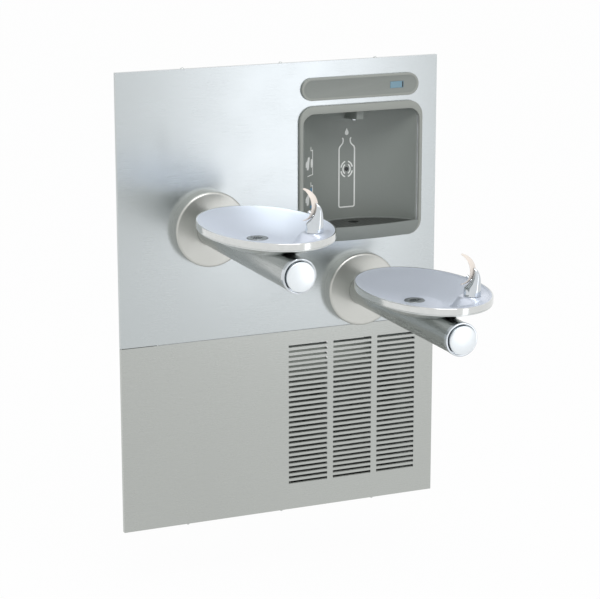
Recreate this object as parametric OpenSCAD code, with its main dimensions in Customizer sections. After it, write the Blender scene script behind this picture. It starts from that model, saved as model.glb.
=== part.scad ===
// In-wall drinking fountain with two heights and a bottle filling alcove.
// X runs right, Y runs back into the wall, Z runs up. The finished wall is the plane Y = 0,
// and the origin is the middle of the four wall bolts.

/* [Panels] */
// Width of the two steel front panels
panel_w = 930; // [915:5:960]
// Height of both panels together
panel_h = 1256; // [1246:2:1280]
// Thickness of the panel sheet
panel_t = 1.2; // [0.8:0.1:1.5]
// Distance from the wall to the face of the panels
panel_stand = 12; // [11:0.5:16]
// Height of the seam between the panels
seam_z = -111; // [-116:1:-110]
// Gap between the panels at the seam
seam_gap = 1.6; // [1:0.2:3]

/* [Louvres] */
// Columns of louvres
louvre_columns = 3; // [2:1:3]
// Louvres in one column
louvre_rows = 28; // [20:1:28]
// Length of one louvre
louvre_w = 117; // [100:1:118]
// Gap between two columns
louvre_gap = 18; // [14:1:20]
// Left end of the first column
louvre_x = 21; // [14:1:27]
// Top of the highest louvre
louvre_top = -152; // [-160:1:-150]
// Distance from one louvre to the next
louvre_pitch = 14.6; // [13.5:0.05:14.8]
// Height of the slot of a louvre
louvre_slot = 7.5; // [6:0.5:8]
// How far a louvre blade reaches behind the panel
blade_depth = 7; // [5:0.5:7]
// How far a louvre blade rises on its way back
blade_rise = 5; // [3:0.5:5]
// Thickness of a louvre blade
blade_t = 1; // [0.8:0.1:1.2]

/* [Wall frame] */
// Frame box in the wall, in from the left edge of the panels
box_left_in = 104; // [103:1:105]
// Frame box in the wall, in from the right edge of the panels
box_right_in = 42; // [41:0.5:42]
// Frame box in the wall, in from the top and bottom edges of the panels
box_end_in = 49; // [45:1:50]
// Depth of the frame box behind the wall face
box_depth = 290; // [286:2:310]
// Thickness of the frame sheet
frame_t = 2; // [1.5:0.5:2.5]
// Width of the flanges at the back of the frame
rear_flange = 30; // [20:2:40]
// Radius of the wall bolt holes
wall_bolt_r = 5; // [4:0.5:6]
// Wall bolts, in from the side edges of the panels
wall_bolt_in = 25; // [23:1:27]
// Wall bolts, in from the top and bottom edges of the panels
wall_bolt_down = 88; // [68:5:128]
// Height of the seam rail
seam_rail_h = 70; // [60:2:72]
// Depth of the rails and carriers
rail_depth = 32; // [30:1:33]
// Thickness of the plates that carry the arms
carrier_t = 5; // [4:0.5:6]
// Width of the plates that carry the arms
carrier_w = 150; // [144:2:156]
// Height of the rail under the alcove
alcove_rail_h = 40; // [34:2:42]

/* [Alcove] */
// Middle of the alcove, left to right
alcove_x = 235; // [232:0.5:238]
// Width of the alcove bezel
alcove_w = 367; // [356:1:372]
// Bottom of the alcove bezel
alcove_bottom = 132; // [128:1:136]
// Height of the alcove bezel
alcove_h = 375; // [368:1:378]
// Corner radius of the alcove bezel
alcove_corner = 42; // [36:1:50]
// How far the bezel stands proud of the panel
bezel_proud = 10; // [6:0.5:12]
// Width of the bezel at the sides
bezel_side = 9; // [8:0.5:11]
// Width of the bezel at the top
bezel_top = 21; // [18:1:24]
// Depth of the recess behind the panel face, at its middle
recess_depth = 91; // [80:1:95]
// Radius of the bend from the ceiling to the back of the recess
ceiling_bend = 55; // [40:1:60]
// Wall of the alcove shell
shell_t = 3; // [2.5:0.5:4]
// Top of the drip tray's rim
tray_top = 172; // [167:1:176]
// How far the tray's front bows out of the bezel
tray_bow = 20; // [12:1:24]
// Depth of the tray's well
tray_well = 12; // [10:1:14]
// Width of the tray's rim
tray_rim = 5; // [4:0.5:7]
// Thickness of the tray's grid
grid_t = 3; // [2:0.5:4]
// Depth of the grid below the tray's rim
grid_drop = 2; // [1:0.5:3]
// Radius of the hole in the middle of the grid
grid_hole_r = 15; // [12:1:18]
// Distance of the filler's stream behind the wall face
stream_y = 33; // [28:1:38]

/* [Filler] */
// Width of the nozzle hood
hood_w = 20; // [16:1:26]
// Height of the nozzle hood at its front
hood_h = 24; // [20:1:26]
// Drop of the hood's underside from front to back
hood_fall = 9; // [6:1:12]
// Radius of the nozzle outlet
outlet_r = 7; // [6:0.5:8]
// Radius of the nozzle's bore
outlet_bore_r = 4; // [3:0.5:4.5]
// How far the outlet reaches below the hood
outlet_drop = 3; // [2:0.5:5]
// Length of the nozzle outlet
outlet_len = 16; // [14:1:18]
// Height of the bottle sensor
sensor_z = 310; // [296:1:326]
// Radius of the sensor window
sensor_r = 6; // [5:0.5:8]
// Length of the sensor window
sensor_len = 12; // [8:1:16]
// How far the sensor window stands proud
sensor_proud = 0.6; // [0.4:0.1:1]

/* [Fascia] */
// Middle of the control fascia, left to right
fascia_x = 232; // [229:0.5:235]
// Height of the middle of the control fascia
fascia_z = 553; // [552:0.5:554]
// Width of the control fascia
fascia_w = 348; // [336:1:354]
// Height of the control fascia
fascia_h = 61; // [56:1:64]
// How far the fascia stands proud of the panel
fascia_proud = 8; // [6:0.5:10]
// Wall of the fascia
fascia_t = 3; // [2.5:0.5:4]
// How far the fascia's box sits inside its edge
fascia_margin = 8; // [7.5:0.5:10]
// Width of the border round the fascia's face
fascia_border = 6; // [5:0.5:8]
// Depth of the face below the border
fascia_sink = 1; // [0.6:0.2:1.4]
// How far the fascia's box reaches behind the panel face
fascia_box_depth = 22; // [18:1:26]
// Middle of the display, left to right
display_x = 340; // [332:0.5:343]
// Width of the display
display_w = 40; // [36:1:43]
// Height of the display
display_h = 18; // [15:1:20]
// Width of the control board
board_w = 160; // [140:5:165]
// Height of the control board
board_h = 38; // [32:1:40]
// Thickness of the control board
board_t = 1.6; // [1.2:0.2:2]

/* [Fountains] */
// Left arm, left to right
left_arm_x = -214; // [-218:1:-210]
// Left arm, height
left_arm_z = 200; // [166:1:212]
// Right arm, left to right
right_arm_x = 231; // [228:1:236]
// Right arm, height
right_arm_z = -6; // [-7:0.5:-5]
// Outer radius of the arm tube
arm_r = 43; // [41.5:0.5:43.5]
// Wall of the arm tube
arm_wall = 2; // [1.5:0.5:2.5]
// Length from the panel face to the front of the collar
arm_len = 618; // [600:2:640]
// Radius of the arm's flange
arm_flange_r = 66; // [64:0.5:68]
// Thickness of the arm's flange
arm_flange_t = 8; // [6:1:10]
// Radius of the circle of arm bolts
arm_bolt_circle = 54; // [53:0.5:56]
// Radius of an arm bolt
arm_bolt_r = 4; // [3:0.5:4.5]
// Radius of the wall plate
plate_r = 102; // [90:1:102]
// Depth of the wall plate
plate_depth = 34; // [30:1:40]
// Wall of the wall plate
plate_t = 1.5; // [1:0.25:2]
// Radius of the wall plate's edge
plate_edge_r = 6; // [5:1:9]

/* [Basins] */
// Half the width of a basin
basin_a = 162; // [150:1:170]
// Half the length of a basin
basin_b = 246; // [230:1:256]
// Middle of the basin, to the right of its arm
basin_dx = 11; // [8:0.5:14]
// Middle of the basin, behind the front end of its arm
basin_back = 244; // [238:1:258]
// Top of the rim above the arm's axis
rim_rise = 82; // [80:0.5:84]
// Height of the polished rim band
rim_band = 16; // [14:1:18]
// Radius of the rim's upper edge
rim_edge_r = 2.5; // [1.5:0.5:3]
// Depth of the bowl at the drain
bowl_depth = 41; // [40:0.5:42]
// Sheet of the bowl and of the under-pan
basin_t = 1.5; // [1:0.25:1.75]
// Depth of the under-pan below the rim
pan_depth = 66; // [62:1:67]
// Height of the under-pan's upright lip
pan_lip = 3; // [2:0.5:4]
// Groove between the rim band and the under-pan's lip
pan_groove = 1.5; // [1:0.25:2]
// Drain, behind the middle of the basin
drain_back = 25; // [20:1:30]
// Radius of the strainer's flange
strainer_r = 28; // [24:1:28]
// Radius of the strainer's tail
strainer_tail_r = 15; // [13:0.5:15.5]
// Middle of the bubbler, to the right of the basin's middle
bubbler_dx = 85; // [80:1:90]
// Middle of the bubbler, in front of the basin's middle
bubbler_dy = 115; // [110:1:120]
// Deck of the bubbler below the rim
deck_drop = 6; // [5:0.5:7]
// Radius of the bubbler's deck
deck_r = 34; // [32:1:36]

/* [Bubbler] */
// Direction of the water's stream, turned from +X
stream_angle = 124; // [115:1:130]
// Radius of the bubbler's foot
foot_r = 23; // [20:0.5:24]
// Height of the bubbler's foot
foot_h = 4; // [3:0.5:5]
// Height of the bubbler's body
body_h = 74; // [70:1:76]
// Radius of the inner curve of the mouth guard
guard_curve_r = 40; // [39:0.5:41]
// Height of the middle of the guard's curve above the deck
guard_mid_h = 66; // [65:0.5:68]
// Width of the mouth guard at its widest
guard_w = 28; // [24:1:30]
// Thickness of the mouth guard at its thickest
guard_t = 7; // [6:0.5:8]
// Radius of the bubbler's nozzle
jet_r = 4.5; // [4:0.5:5]
// Length of the bubbler's nozzle
jet_len = 20; // [18:0.5:22]

/* [Push buttons] */
// Outer radius of the collar at the arm's end
collar_r = 44.5; // [44:0.25:45]
// Length of the collar in front of the tube
collar_len = 14; // [12:1:18]
// Radius of the push button
button_r = 37.4; // [36:0.1:37.6]
// Gap round the push button
button_gap = 1.8; // [1.4:0.1:2]
// How far the button stands out of the collar
button_proud = 12; // [10:0.5:14]
// Rise of the button's domed face
button_dome = 3; // [2:0.5:4]
// Travel of the push button
button_travel = 5; // [3:0.5:6]
// Radius of the button's stem
stem_r = 8; // [7:0.5:9]
// Radius of the button spring, to the middle of the wire
spring_r = 15; // [13:0.5:17]
// Radius of the spring's wire
wire_r = 1; // [0.8:0.1:1.2]
// Turns of the button spring
spring_turns = 5; // [4:1:6]
// Radius of the valve
valve_r = 26; // [22:1:30]
// Length of the valve
valve_len = 44; // [36:1:46]

/* [Chiller] */
// Radius of the compressor's shell
compressor_r = 68; // [60:1:72]
// Height of the compressor
compressor_h = 170; // [150:2:190]
// Width of the condenser
condenser_w = 330; // [310:5:340]
// Height of the condenser
condenser_h = 330; // [310:5:345]
// Depth of the condenser
condenser_d = 40; // [34:1:44]
// Fins on the condenser
condenser_fins = 24; // [16:1:30]
// Radius of the fan
fan_r = 105; // [95:1:115]
// Blades on the fan
fan_blades = 5; // [4:1:6]
// Radius of the fan's shaft
fan_shaft_r = 4; // [3:0.5:5]
// Radius of the cooling tank
tank_r = 76; // [68:1:80]
// Height of the cooling tank
tank_h = 230; // [200:5:250]
// Radius of the filter cartridge
filter_r = 38; // [34:1:42]
// Length of the filter cartridge
filter_len = 240; // [200:5:260]
// Outer radius of the water inlet
inlet_r = 10.5; // [9:0.5:12]
// Outer radius of the waste outlet
waste_r = 20; // [18:1:22]
// Outer radius of the water tubes
tube_r = 2.5; // [2.25:0.25:2.75]

/* [Hidden] */

// Facets of a full circle, large and small
round_fn = 96;
small_fn = 32;
// Overrun of a cut past the face that it opens
cut = 1;
// Gap between a piece and the hole or the pocket that it sits in
fit = 0.3;
// Gap of a shaft or a stem that runs in a bore
run_fit = 0.05;

// Colours
steel = "#c4c8c8";
satin = "#cbd1da";
chrome = "#e4e8ec";
zinc = "#a8abae";
grey = "#8a8f88";
pale_grey = "#a0a39c";
dark = "#3c3f3e";
cream = "#f0e6dc";
copper = "#b87352";
blue_glass = "#7fb4c8";
white_plastic = "#e8e8e4";
board_green = "#2f6b4a";
brass = "#c2a45a";

// Panel and frame planes
face_y = -panel_stand;
back_y = face_y + panel_t;
panel_half_w = panel_w / 2;
panel_half_h = panel_h / 2;
frame_half_w = panel_half_w - panel_t - fit;
frame_half_h = panel_half_h - panel_t - fit;
box_left = box_left_in - panel_half_w;
box_right = panel_half_w - box_right_in;
box_half_h = panel_half_h - box_end_in;
box_in_left = box_left + frame_t;
box_in_right = box_right - frame_t;
box_in_h = box_half_h - frame_t;
seam_rail_top = seam_z + seam_rail_h / 2;
seam_rail_bottom = seam_z - seam_rail_h / 2;
alcove_rail_top = alcove_bottom;
alcove_rail_bottom = alcove_rail_top - alcove_rail_h;

// Points of an arc, from angle a0 to angle a1
function arc(cx, cy, r, a0, a1, n = 8) =
  [for (i = [0:n]) [cx + r * cos(a0 + (a1 - a0) * i / n), cy + r * sin(a0 + (a1 - a0) * i / n)]];

// Outline of a rectangle with round corners, anticlockwise
function round_rect(x0, y0, x1, y1, r, n = 10) = concat(
  arc(x1 - r, y0 + r, r, -90, 0, n), arc(x1 - r, y1 - r, r, 0, 90, n),
  arc(x0 + r, y1 - r, r, 90, 180, n), arc(x0 + r, y0 + r, r, 180, 270, n));

// A flat outline drawn in X and Z, filled from y0 back to y1
module slab(points, y0, y1) {
  translate([0, y1, 0]) rotate([90, 0, 0]) linear_extrude(y1 - y0) polygon(points);
}

// A flat outline drawn in Y and Z, filled from x0 to x1
module bar(points, x0, x1) {
  translate([x0, 0, 0]) rotate([90, 0, 90]) linear_extrude(x1 - x0) polygon(points);
}

// A box given by its low and high corners
module block(low, high) {
  translate(low) cube(high - low);
}

// A round rod along Y
module rod_y(x, z, r, y0, y1, fn = small_fn) {
  translate([x, y1, z]) rotate([90, 0, 0]) cylinder(r = r, h = y1 - y0, $fn = fn);
}

// A round rod along X
module rod_x(y, z, r, x0, x1, fn = small_fn) {
  translate([x0, y, z]) rotate([0, 90, 0]) cylinder(r = r, h = x1 - x0, $fn = fn);
}

// A round rod along Z
module rod_z(x, y, r, z0, z1, fn = small_fn) {
  translate([x, y, z0]) cylinder(r = r, h = z1 - z0, $fn = fn);
}

// A profile of [radius, distance in front of the wall] turned round an axis along Y
module turned(profile, fn = round_fn) {
  rotate([90, 0, 0]) rotate_extrude($fn = fn) polygon(profile);
}

// A round rod from one point to another
module rod(p, q, r, fn = small_fn) {
  d = q - p;
  flat = norm([d[0], d[1]]);
  translate(p) rotate([0, atan2(flat, d[2]), atan2(d[1], d[0])])
    cylinder(r = r, h = norm(d), $fn = fn);
}

// A run of pipe with a fatter elbow at each bend
elbow_share = 1.25;
module pipe(points, r) {
  for (i = [0:len(points) - 2]) rod(points[i], points[i + 1], r);
  if (len(points) > 2)
    for (i = [1:len(points) - 2]) translate(points[i]) sphere(r = r * elbow_share, $fn = small_fn);
}

// A closed skin through rings of points, each with as many points, with a flat end on each side
module skin(rings) {
  n = len(rings[0]);
  last = len(rings) - 1;
  points = [for (ring = rings) each ring];
  sides = [for (i = [0:last - 1], j = [0:n - 1])
    each [[i * n + j, i * n + (j + 1) % n, (i + 1) * n + j],
          [i * n + (j + 1) % n, (i + 1) * n + (j + 1) % n, (i + 1) * n + j]]];
  first_end = [for (j = [1:n - 2]) [0, j + 1, j]];
  last_end = [for (j = [1:n - 2]) [last * n, last * n + j, last * n + j + 1]];
  polyhedron(points = points, faces = [for (f = concat(sides, first_end, last_end)) [f[2], f[1], f[0]]],
             convexity = 6);
}

// Wall frame
flange_y = -frame_t;
module upright(side) {
  web = side < 0 ? box_left : -box_right;
  inner = web + frame_t;
  mirror([side > 0 ? 1 : 0, 0, 0]) difference() {
    union() {
      // flange on the wall, and the lip that the panel slips over
      block([-frame_half_w, flange_y, -frame_half_h], [inner, 0, frame_half_h]);
      block([-frame_half_w, back_y, -frame_half_h], [-frame_half_w + frame_t, 0, frame_half_h]);
      // web through the wall, and the flange at the back
      block([web, flange_y, -box_half_h], [inner, box_depth, box_half_h]);
      block([web, box_depth - frame_t, -box_in_h], [inner + rear_flange, box_depth, box_in_h]);
    }
    for (z = [-1, 1])
      rod_y(wall_bolt_in - panel_half_w, z * (panel_half_h - wall_bolt_down), wall_bolt_r, flange_y - cut, cut);
  }
}
module left_upright() { color(zinc) upright(-1); }
module right_upright() { color(zinc) upright(1); }

// Screws through the turned edges of the panels, into the lips of the frame
screw_r = 2;
screw_gap = 0.1;
screw_head_r = 4.5;
screw_head_h = 2.2;
screw_len = 9;
screw_y = (back_y + flange_y) / 2;
screw_x_shares = [-0.6, 0, 0.6];
module screw_places() {
  for (share = screw_x_shares, side = [-1, 1])
    translate([share * panel_half_w, screw_y, side * panel_half_h])
      mirror([0, 0, side < 0 ? 1 : 0]) children();
}
module screw_holes() {
  screw_places() translate([0, 0, -2 * screw_len])
    cylinder(r = screw_r + screw_gap, h = 3 * screw_len, $fn = small_fn);
}
head_low = 20;
head_high = 60;
module panel_screws() {
  color(steel) screw_places() {
    rotate_extrude($fn = small_fn) polygon(concat(
      [[0, -screw_len], [screw_r, -screw_len], [screw_r, 0], [screw_head_r, 0]],
      arc(0, 0, screw_head_r, head_low, head_high, 4), [[0, screw_head_h * 1.8]]));
  }
}

module end_rail(web_depth) {
  difference() {
    union() {
      block([box_in_left, flange_y, box_in_h], [box_in_right, 0, frame_half_h]);
      block([box_in_left, back_y, frame_half_h - frame_t], [box_in_right, 0, frame_half_h]);
      block([box_in_left, flange_y, box_in_h], [box_in_right, web_depth, box_half_h]);
      block([box_in_left + rear_flange, web_depth - frame_t, box_half_h - rear_flange],
            [box_in_right - rear_flange, web_depth, box_half_h]);
    }
    screw_holes();
  }
}
module top_rail() { color(zinc) end_rail(box_depth); }
module base_shelf() { color(zinc) mirror([0, 0, 1]) end_rail(box_depth); }

// Rails and carriers are channels that open to the back
module channel(x0, x1, z0, z1, t, along_x) {
  difference() {
    block([x0, back_y, z0], [x1, back_y + rail_depth, z1]);
    block([along_x ? x0 - cut : x0 + t, back_y + t, along_x ? z0 + t : z0 - cut],
          [along_x ? x1 + cut : x1 - t, back_y + rail_depth + cut, along_x ? z1 - t : z1 + cut]);
  }
}
module seam_rail() {
  color(zinc) channel(box_in_left, box_in_right, seam_rail_bottom, seam_rail_top, frame_t, true);
}
module alcove_rail() {
  color(zinc) channel(left_arm_x + carrier_w / 2, box_in_right, alcove_rail_bottom, alcove_rail_top,
                      frame_t, true);
}
carrier_hole_r = arm_r - arm_wall;
module arm_bolt_places() {
  for (i = [0:3]) rotate([0, 45 + 90 * i, 0]) translate([arm_bolt_circle, 0, 0]) children();
}
module carrier_plate(x, z, low, high) {
  difference() {
    channel(x - carrier_w / 2, x + carrier_w / 2, low, high, carrier_t, false);
    rod_y(x, z, carrier_hole_r, back_y - cut, back_y + carrier_t + cut, round_fn);
    translate([x, 0, z]) arm_bolt_places()
      rod_y(0, 0, arm_bolt_r + fit, back_y - cut, back_y + carrier_t + cut);
  }
}
module left_carrier() {
  color(zinc) carrier_plate(left_arm_x, left_arm_z, seam_rail_top, box_in_h);
}
module right_carrier() {
  color(zinc) carrier_plate(right_arm_x, right_arm_z, seam_rail_top, alcove_rail_bottom);
}

// Panels
cutout_margin = 4;
module panel_sheet(z0, z1, turned_z) {
  block([-panel_half_w, face_y, z0], [panel_half_w, back_y, z1]);
  for (side = [-1, 1])
    block([side < 0 ? -panel_half_w : panel_half_w - panel_t, face_y, z0],
          [side < 0 ? -panel_half_w + panel_t : panel_half_w, 0, z1]);
  block([-panel_half_w, face_y, turned_z], [panel_half_w, 0, turned_z + panel_t]);
}
alcove_x0 = alcove_x - alcove_w / 2;
alcove_x1 = alcove_x + alcove_w / 2;
alcove_top = alcove_bottom + alcove_h;
module upper_panel() {
  color(steel) difference() {
    panel_sheet(seam_z + seam_gap / 2, panel_half_h, panel_half_h - panel_t);
    slab(round_rect(alcove_x0 + cutout_margin, alcove_bottom, alcove_x1 - cutout_margin,
                    alcove_top - cutout_margin, alcove_corner - 2.5 * cutout_margin),
         face_y - cut, back_y + cut);
    fascia_pill(fascia_margin, face_y - cut, back_y + cut);
    for (arm = [[left_arm_x, left_arm_z], [right_arm_x, right_arm_z]])
      rod_y(arm[0], arm[1], arm_flange_r + cutout_margin, face_y - cut, back_y + cut, round_fn);
    screw_holes();
  }
}
function louvre_left(column) = louvre_x + column * (louvre_w + louvre_gap);
function louvre_bottom(row) = louvre_top - louvre_slot - row * louvre_pitch;
module louvre_blades(column) {
  for (row = [0:louvre_rows - 1])
    bar([[face_y, louvre_bottom(row) - blade_t], [face_y + blade_t, louvre_bottom(row) - blade_t],
         [face_y + blade_depth, louvre_bottom(row) + blade_rise - blade_t],
         [face_y + blade_depth, louvre_bottom(row) + blade_rise],
         [face_y + blade_t, louvre_bottom(row)], [face_y, louvre_bottom(row)]],
        louvre_left(column), louvre_left(column) + louvre_w);
}
module lower_panel() {
  color(steel) {
    difference() {
      panel_sheet(-panel_half_h, seam_z - seam_gap / 2, -panel_half_h);
      for (column = [0:louvre_columns - 1], row = [0:louvre_rows - 1])
        block([louvre_left(column), face_y - cut, louvre_bottom(row)],
              [louvre_left(column) + louvre_w, back_y + cut, louvre_bottom(row) + louvre_slot]);
      screw_holes();
    }
    for (column = [0:louvre_columns - 1]) louvre_blades(column);
  }
}

// Alcove: the recess is a round-backed space, seen from above as an arc
bezel_y = face_y - bezel_proud;
recess_y = face_y + recess_depth;
opening_half_w = alcove_w / 2 - bezel_side;
recess_sagitta = recess_y - bezel_y;
recess_r = (opening_half_w * opening_half_w + recess_sagitta * recess_sagitta) / (2 * recess_sagitta);
recess_cy = recess_y - recess_r;
opening_top = alcove_top - bezel_top;
opening_bottom = alcove_bottom + shell_t;
opening_corner = alcove_corner - bezel_side;
module recess(grow, front_y) {
  intersection() {
    rod_z(alcove_x, recess_cy, recess_r + grow, opening_bottom - grow, opening_top + grow, 2 * round_fn);
    bar(concat([[front_y, opening_bottom - grow], [recess_y + grow, opening_bottom - grow]],
               arc(recess_y - ceiling_bend, opening_top - ceiling_bend, ceiling_bend + grow, 0, 90, 12),
               [[front_y, opening_top + grow]]),
        alcove_x0, alcove_x1);
    slab(round_rect(alcove_x - opening_half_w - grow, opening_bottom - grow,
                    alcove_x + opening_half_w + grow, opening_top + grow, opening_corner + grow, 12),
         front_y, recess_y + grow);
  }
}
module stream_axis(r, z0, z1) { rod_z(alcove_x, stream_y, r, z0, z1); }
module alcove_shell() {
  color(grey) difference() {
    recess(shell_t, face_y);
    recess(0, face_y - cut);
    rod_y(alcove_x, sensor_z, sensor_r + fit, recess_y - sensor_len, recess_y + sensor_len);
    stream_axis(waste_spigot_r + fit, alcove_bottom - shell_t, opening_bottom + cut);
    // way for the filler's tube into the back of the hood
    rod_y(alcove_x, hood_tube_z, tube_r + fit, recess_y - ceiling_bend, recess_y + ceiling_bend);
  }
}
module alcove_bezel() {
  color(pale_grey) difference() {
    slab(round_rect(alcove_x0, alcove_bottom, alcove_x1, alcove_top, alcove_corner, 12), bezel_y, face_y);
    slab(round_rect(alcove_x - opening_half_w, opening_bottom, alcove_x + opening_half_w, opening_top,
                    opening_corner, 12), bezel_y - cut, face_y + cut);
  }
}

// Drip tray: round at the back like the recess, bowed at the front
tray_half_w = opening_half_w - fit;
tray_front_r = (tray_half_w * tray_half_w + tray_bow * tray_bow) / (2 * tray_bow);
tray_front_cy = bezel_y - tray_bow + tray_front_r;
waste_spigot_r = 9;
tray_floor = tray_top - tray_well;
module tray_plan(inset, z0, z1) {
  intersection() {
    rod_z(alcove_x, recess_cy, recess_r - fit - inset, z0, z1, 2 * round_fn);
    rod_z(alcove_x, tray_front_cy, tray_front_r - inset, z0, z1, 2 * round_fn);
    block([alcove_x - tray_half_w + inset, bezel_y - tray_bow - cut, z0],
          [alcove_x + tray_half_w - inset, recess_y, z1]);
    // round the lower corners to suit the bezel
    slab(round_rect(alcove_x - tray_half_w, opening_bottom, alcove_x + tray_half_w,
                    tray_top + 2 * opening_corner, opening_corner, 12), bezel_y - tray_bow - cut, recess_y);
  }
}
module drip_tray() {
  color(grey) difference() {
    tray_plan(0, opening_bottom, tray_top);
    tray_plan(tray_rim, tray_floor, tray_top + cut);
    tray_plan(shell_t, opening_bottom - cut, tray_floor - shell_t);
    stream_axis(waste_spigot_r + fit, opening_bottom, tray_top);
  }
}
grid_pitch = 14;
grid_slot_w = 3;
grid_rows = 6;
grid_columns = 18;
grid_top = tray_top - grid_drop;
module tray_grid() {
  color(dark) difference() {
    union() {
      tray_plan(tray_rim + fit, grid_top - grid_t, grid_top);
      // feet that stand on the floor of the well
      for (x = [-1, 1], y = [0, 1])
        rod_z(alcove_x + x * tray_half_w / 2, bezel_y + tray_rim + y * recess_depth / 2 + grid_slot_w,
              grid_slot_w, tray_floor, grid_top - grid_t / 2);
    }
    stream_axis(grid_hole_r, grid_top - grid_t - cut, grid_top + cut);
    for (i = [0:grid_columns - 1], j = [0:grid_rows - 1])
      translate([alcove_x + (i - (grid_columns - 1) / 2) * grid_pitch,
                 bezel_y + (j + 0.5) * grid_pitch, grid_top - grid_t / 2])
        if (norm([(i - (grid_columns - 1) / 2) * grid_pitch, bezel_y + (j + 0.5) * grid_pitch - stream_y])
            > grid_hole_r + grid_pitch / 2)
          cube([grid_pitch / 2, grid_slot_w, grid_t + 2 * cut], center = true);
  }
}

// Nozzle hood: a wedge that hangs from the ceiling of the recess
hood_front_y = face_y + bezel_side / 2;
hood_low_z = opening_top - hood_h;
outlet_z = hood_low_z - outlet_drop - hood_fall / 2;
hood_tube_z = hood_low_z - hood_fall + outlet_len / 2 + tube_r;
module nozzle_hood() {
  color(grey) difference() {
    intersection() {
      recess(0, bezel_y);
      bar([[hood_front_y, hood_low_z], [recess_y + cut, hood_low_z - hood_fall],
           [recess_y + cut, opening_top + cut], [hood_front_y, opening_top + cut]],
          alcove_x - hood_w / 2, alcove_x + hood_w / 2);
    }
    stream_axis(outlet_r + fit, hood_low_z - 2 * hood_fall, outlet_z + outlet_len);
    rod_y(alcove_x, hood_tube_z, tube_r + fit, stream_y, recess_y + cut);
  }
}
module nozzle_outlet() {
  color(chrome) difference() {
    stream_axis(outlet_r, outlet_z, outlet_z + outlet_len);
    stream_axis(outlet_bore_r, outlet_z - cut, outlet_z + outlet_len - outlet_drop);
    rod_y(alcove_x, hood_tube_z, tube_r + fit, stream_y, stream_y + 2 * outlet_r);
  }
}
module sensor_window() {
  front = recess_y - sensor_proud;
  color(dark) rod_y(alcove_x, sensor_z, sensor_r, front, front + sensor_len);
}

// Control fascia
fascia_y = face_y - fascia_proud;
fascia_back_y = face_y + fascia_box_depth;
module fascia_pill(inset, y0, y1) {
  slab(round_rect(fascia_x - fascia_w / 2 + inset, fascia_z - fascia_h / 2 + inset,
                  fascia_x + fascia_w / 2 - inset, fascia_z + fascia_h / 2 - inset,
                  fascia_h / 2 - inset, 16), y0, y1);
}
post_r = 3;
board_gap = 4;
board_y = fascia_back_y - board_gap;
module board_posts(r, y0, y1) {
  for (x = [-1, 1])
    rod_y(fascia_x + x * (board_w / 2 - 2 * post_r), fascia_z, r, y0, y1);
}
module control_fascia() {
  color(pale_grey) difference() {
    union() {
      difference() {
        union() {
          fascia_pill(0, fascia_y, face_y);
          fascia_pill(fascia_margin + fit, face_y, fascia_back_y);
        }
        fascia_pill(fascia_margin + fit + fascia_t, fascia_y + fascia_sink + fascia_t, fascia_back_y + cut);
      }
      board_posts(post_r, fascia_y + fascia_sink + fascia_t / 2, board_y);
    }
    fascia_pill(fascia_border, fascia_y - cut, fascia_y + fascia_sink);
    block([display_x - display_w / 2 - fit, fascia_y - cut, fascia_z - display_h / 2 - fit],
          [display_x + display_w / 2 + fit, fascia_y + fascia_sink + fascia_t + cut,
           fascia_z + display_h / 2 + fit]);
  }
}
display_lip = 3;
module display_window() {
  color(blue_glass) union() {
    block([display_x - display_w / 2, fascia_y + fascia_sink / 2, fascia_z - display_h / 2],
          [display_x + display_w / 2, fascia_y + fascia_sink + fascia_t, fascia_z + display_h / 2]);
    block([display_x - display_w / 2 - display_lip, fascia_y + fascia_sink + fascia_t,
           fascia_z - display_h / 2 - display_lip],
          [display_x + display_w / 2 + display_lip, fascia_y + fascia_sink + fascia_t + display_lip,
           fascia_z + display_h / 2 + display_lip]);
  }
}
chip_h = 3;
module control_board() {
  color(board_green) difference() {
    union() {
      block([fascia_x - board_w / 2, board_y, fascia_z - board_h / 2],
            [fascia_x + board_w / 2, board_y + board_t, fascia_z + board_h / 2]);
      for (i = [-1:1])
        block([fascia_x + i * board_w / 4 - board_h / 4, board_y + board_t, fascia_z - board_h / 4],
              [fascia_x + i * board_w / 4 + board_h / 4, board_y + board_t + chip_h, fascia_z + board_h / 4]);
    }
    board_posts(post_r / 2, board_y - cut, board_y + board_t + cut);
  }
}

// Solenoid valve of the filler, on the web of the right upright
valve_x = box_in_right;
valve_y = 150;
valve_z = 430;
valve_body = [44, 30, 26];
coil_r = 17;
coil_h = 42;
bracket_h = 40;
bracket_t = 3;
module filler_valve() {
  color(white_plastic) union() {
    block([valve_x - bracket_t, valve_y - bracket_h / 2, valve_z - bracket_h / 2],
          [valve_x, valve_y + bracket_h / 2, valve_z + bracket_h / 2]);
    block([valve_x - valve_body[0], valve_y - valve_body[1] / 2, valve_z - valve_body[2] / 2],
          [valve_x - bracket_t, valve_y + valve_body[1] / 2, valve_z + valve_body[2] / 2]);
    rod_z(valve_x - valve_body[0] / 2, valve_y, coil_r, valve_z + valve_body[2] / 2,
          valve_z + valve_body[2] / 2 + coil_h);
  }
}

// Fountain, with its arm's axis at the local origin
tube_end_y = face_y - arm_len + collar_len;
collar_y = face_y - arm_len;
flange_front_y = back_y - arm_flange_t;
arm_in_r = arm_r - arm_wall;
pan_floor = rim_rise - pan_depth;
basin_y = collar_y + basin_back;
drain_y = basin_y + drain_back;

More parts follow.
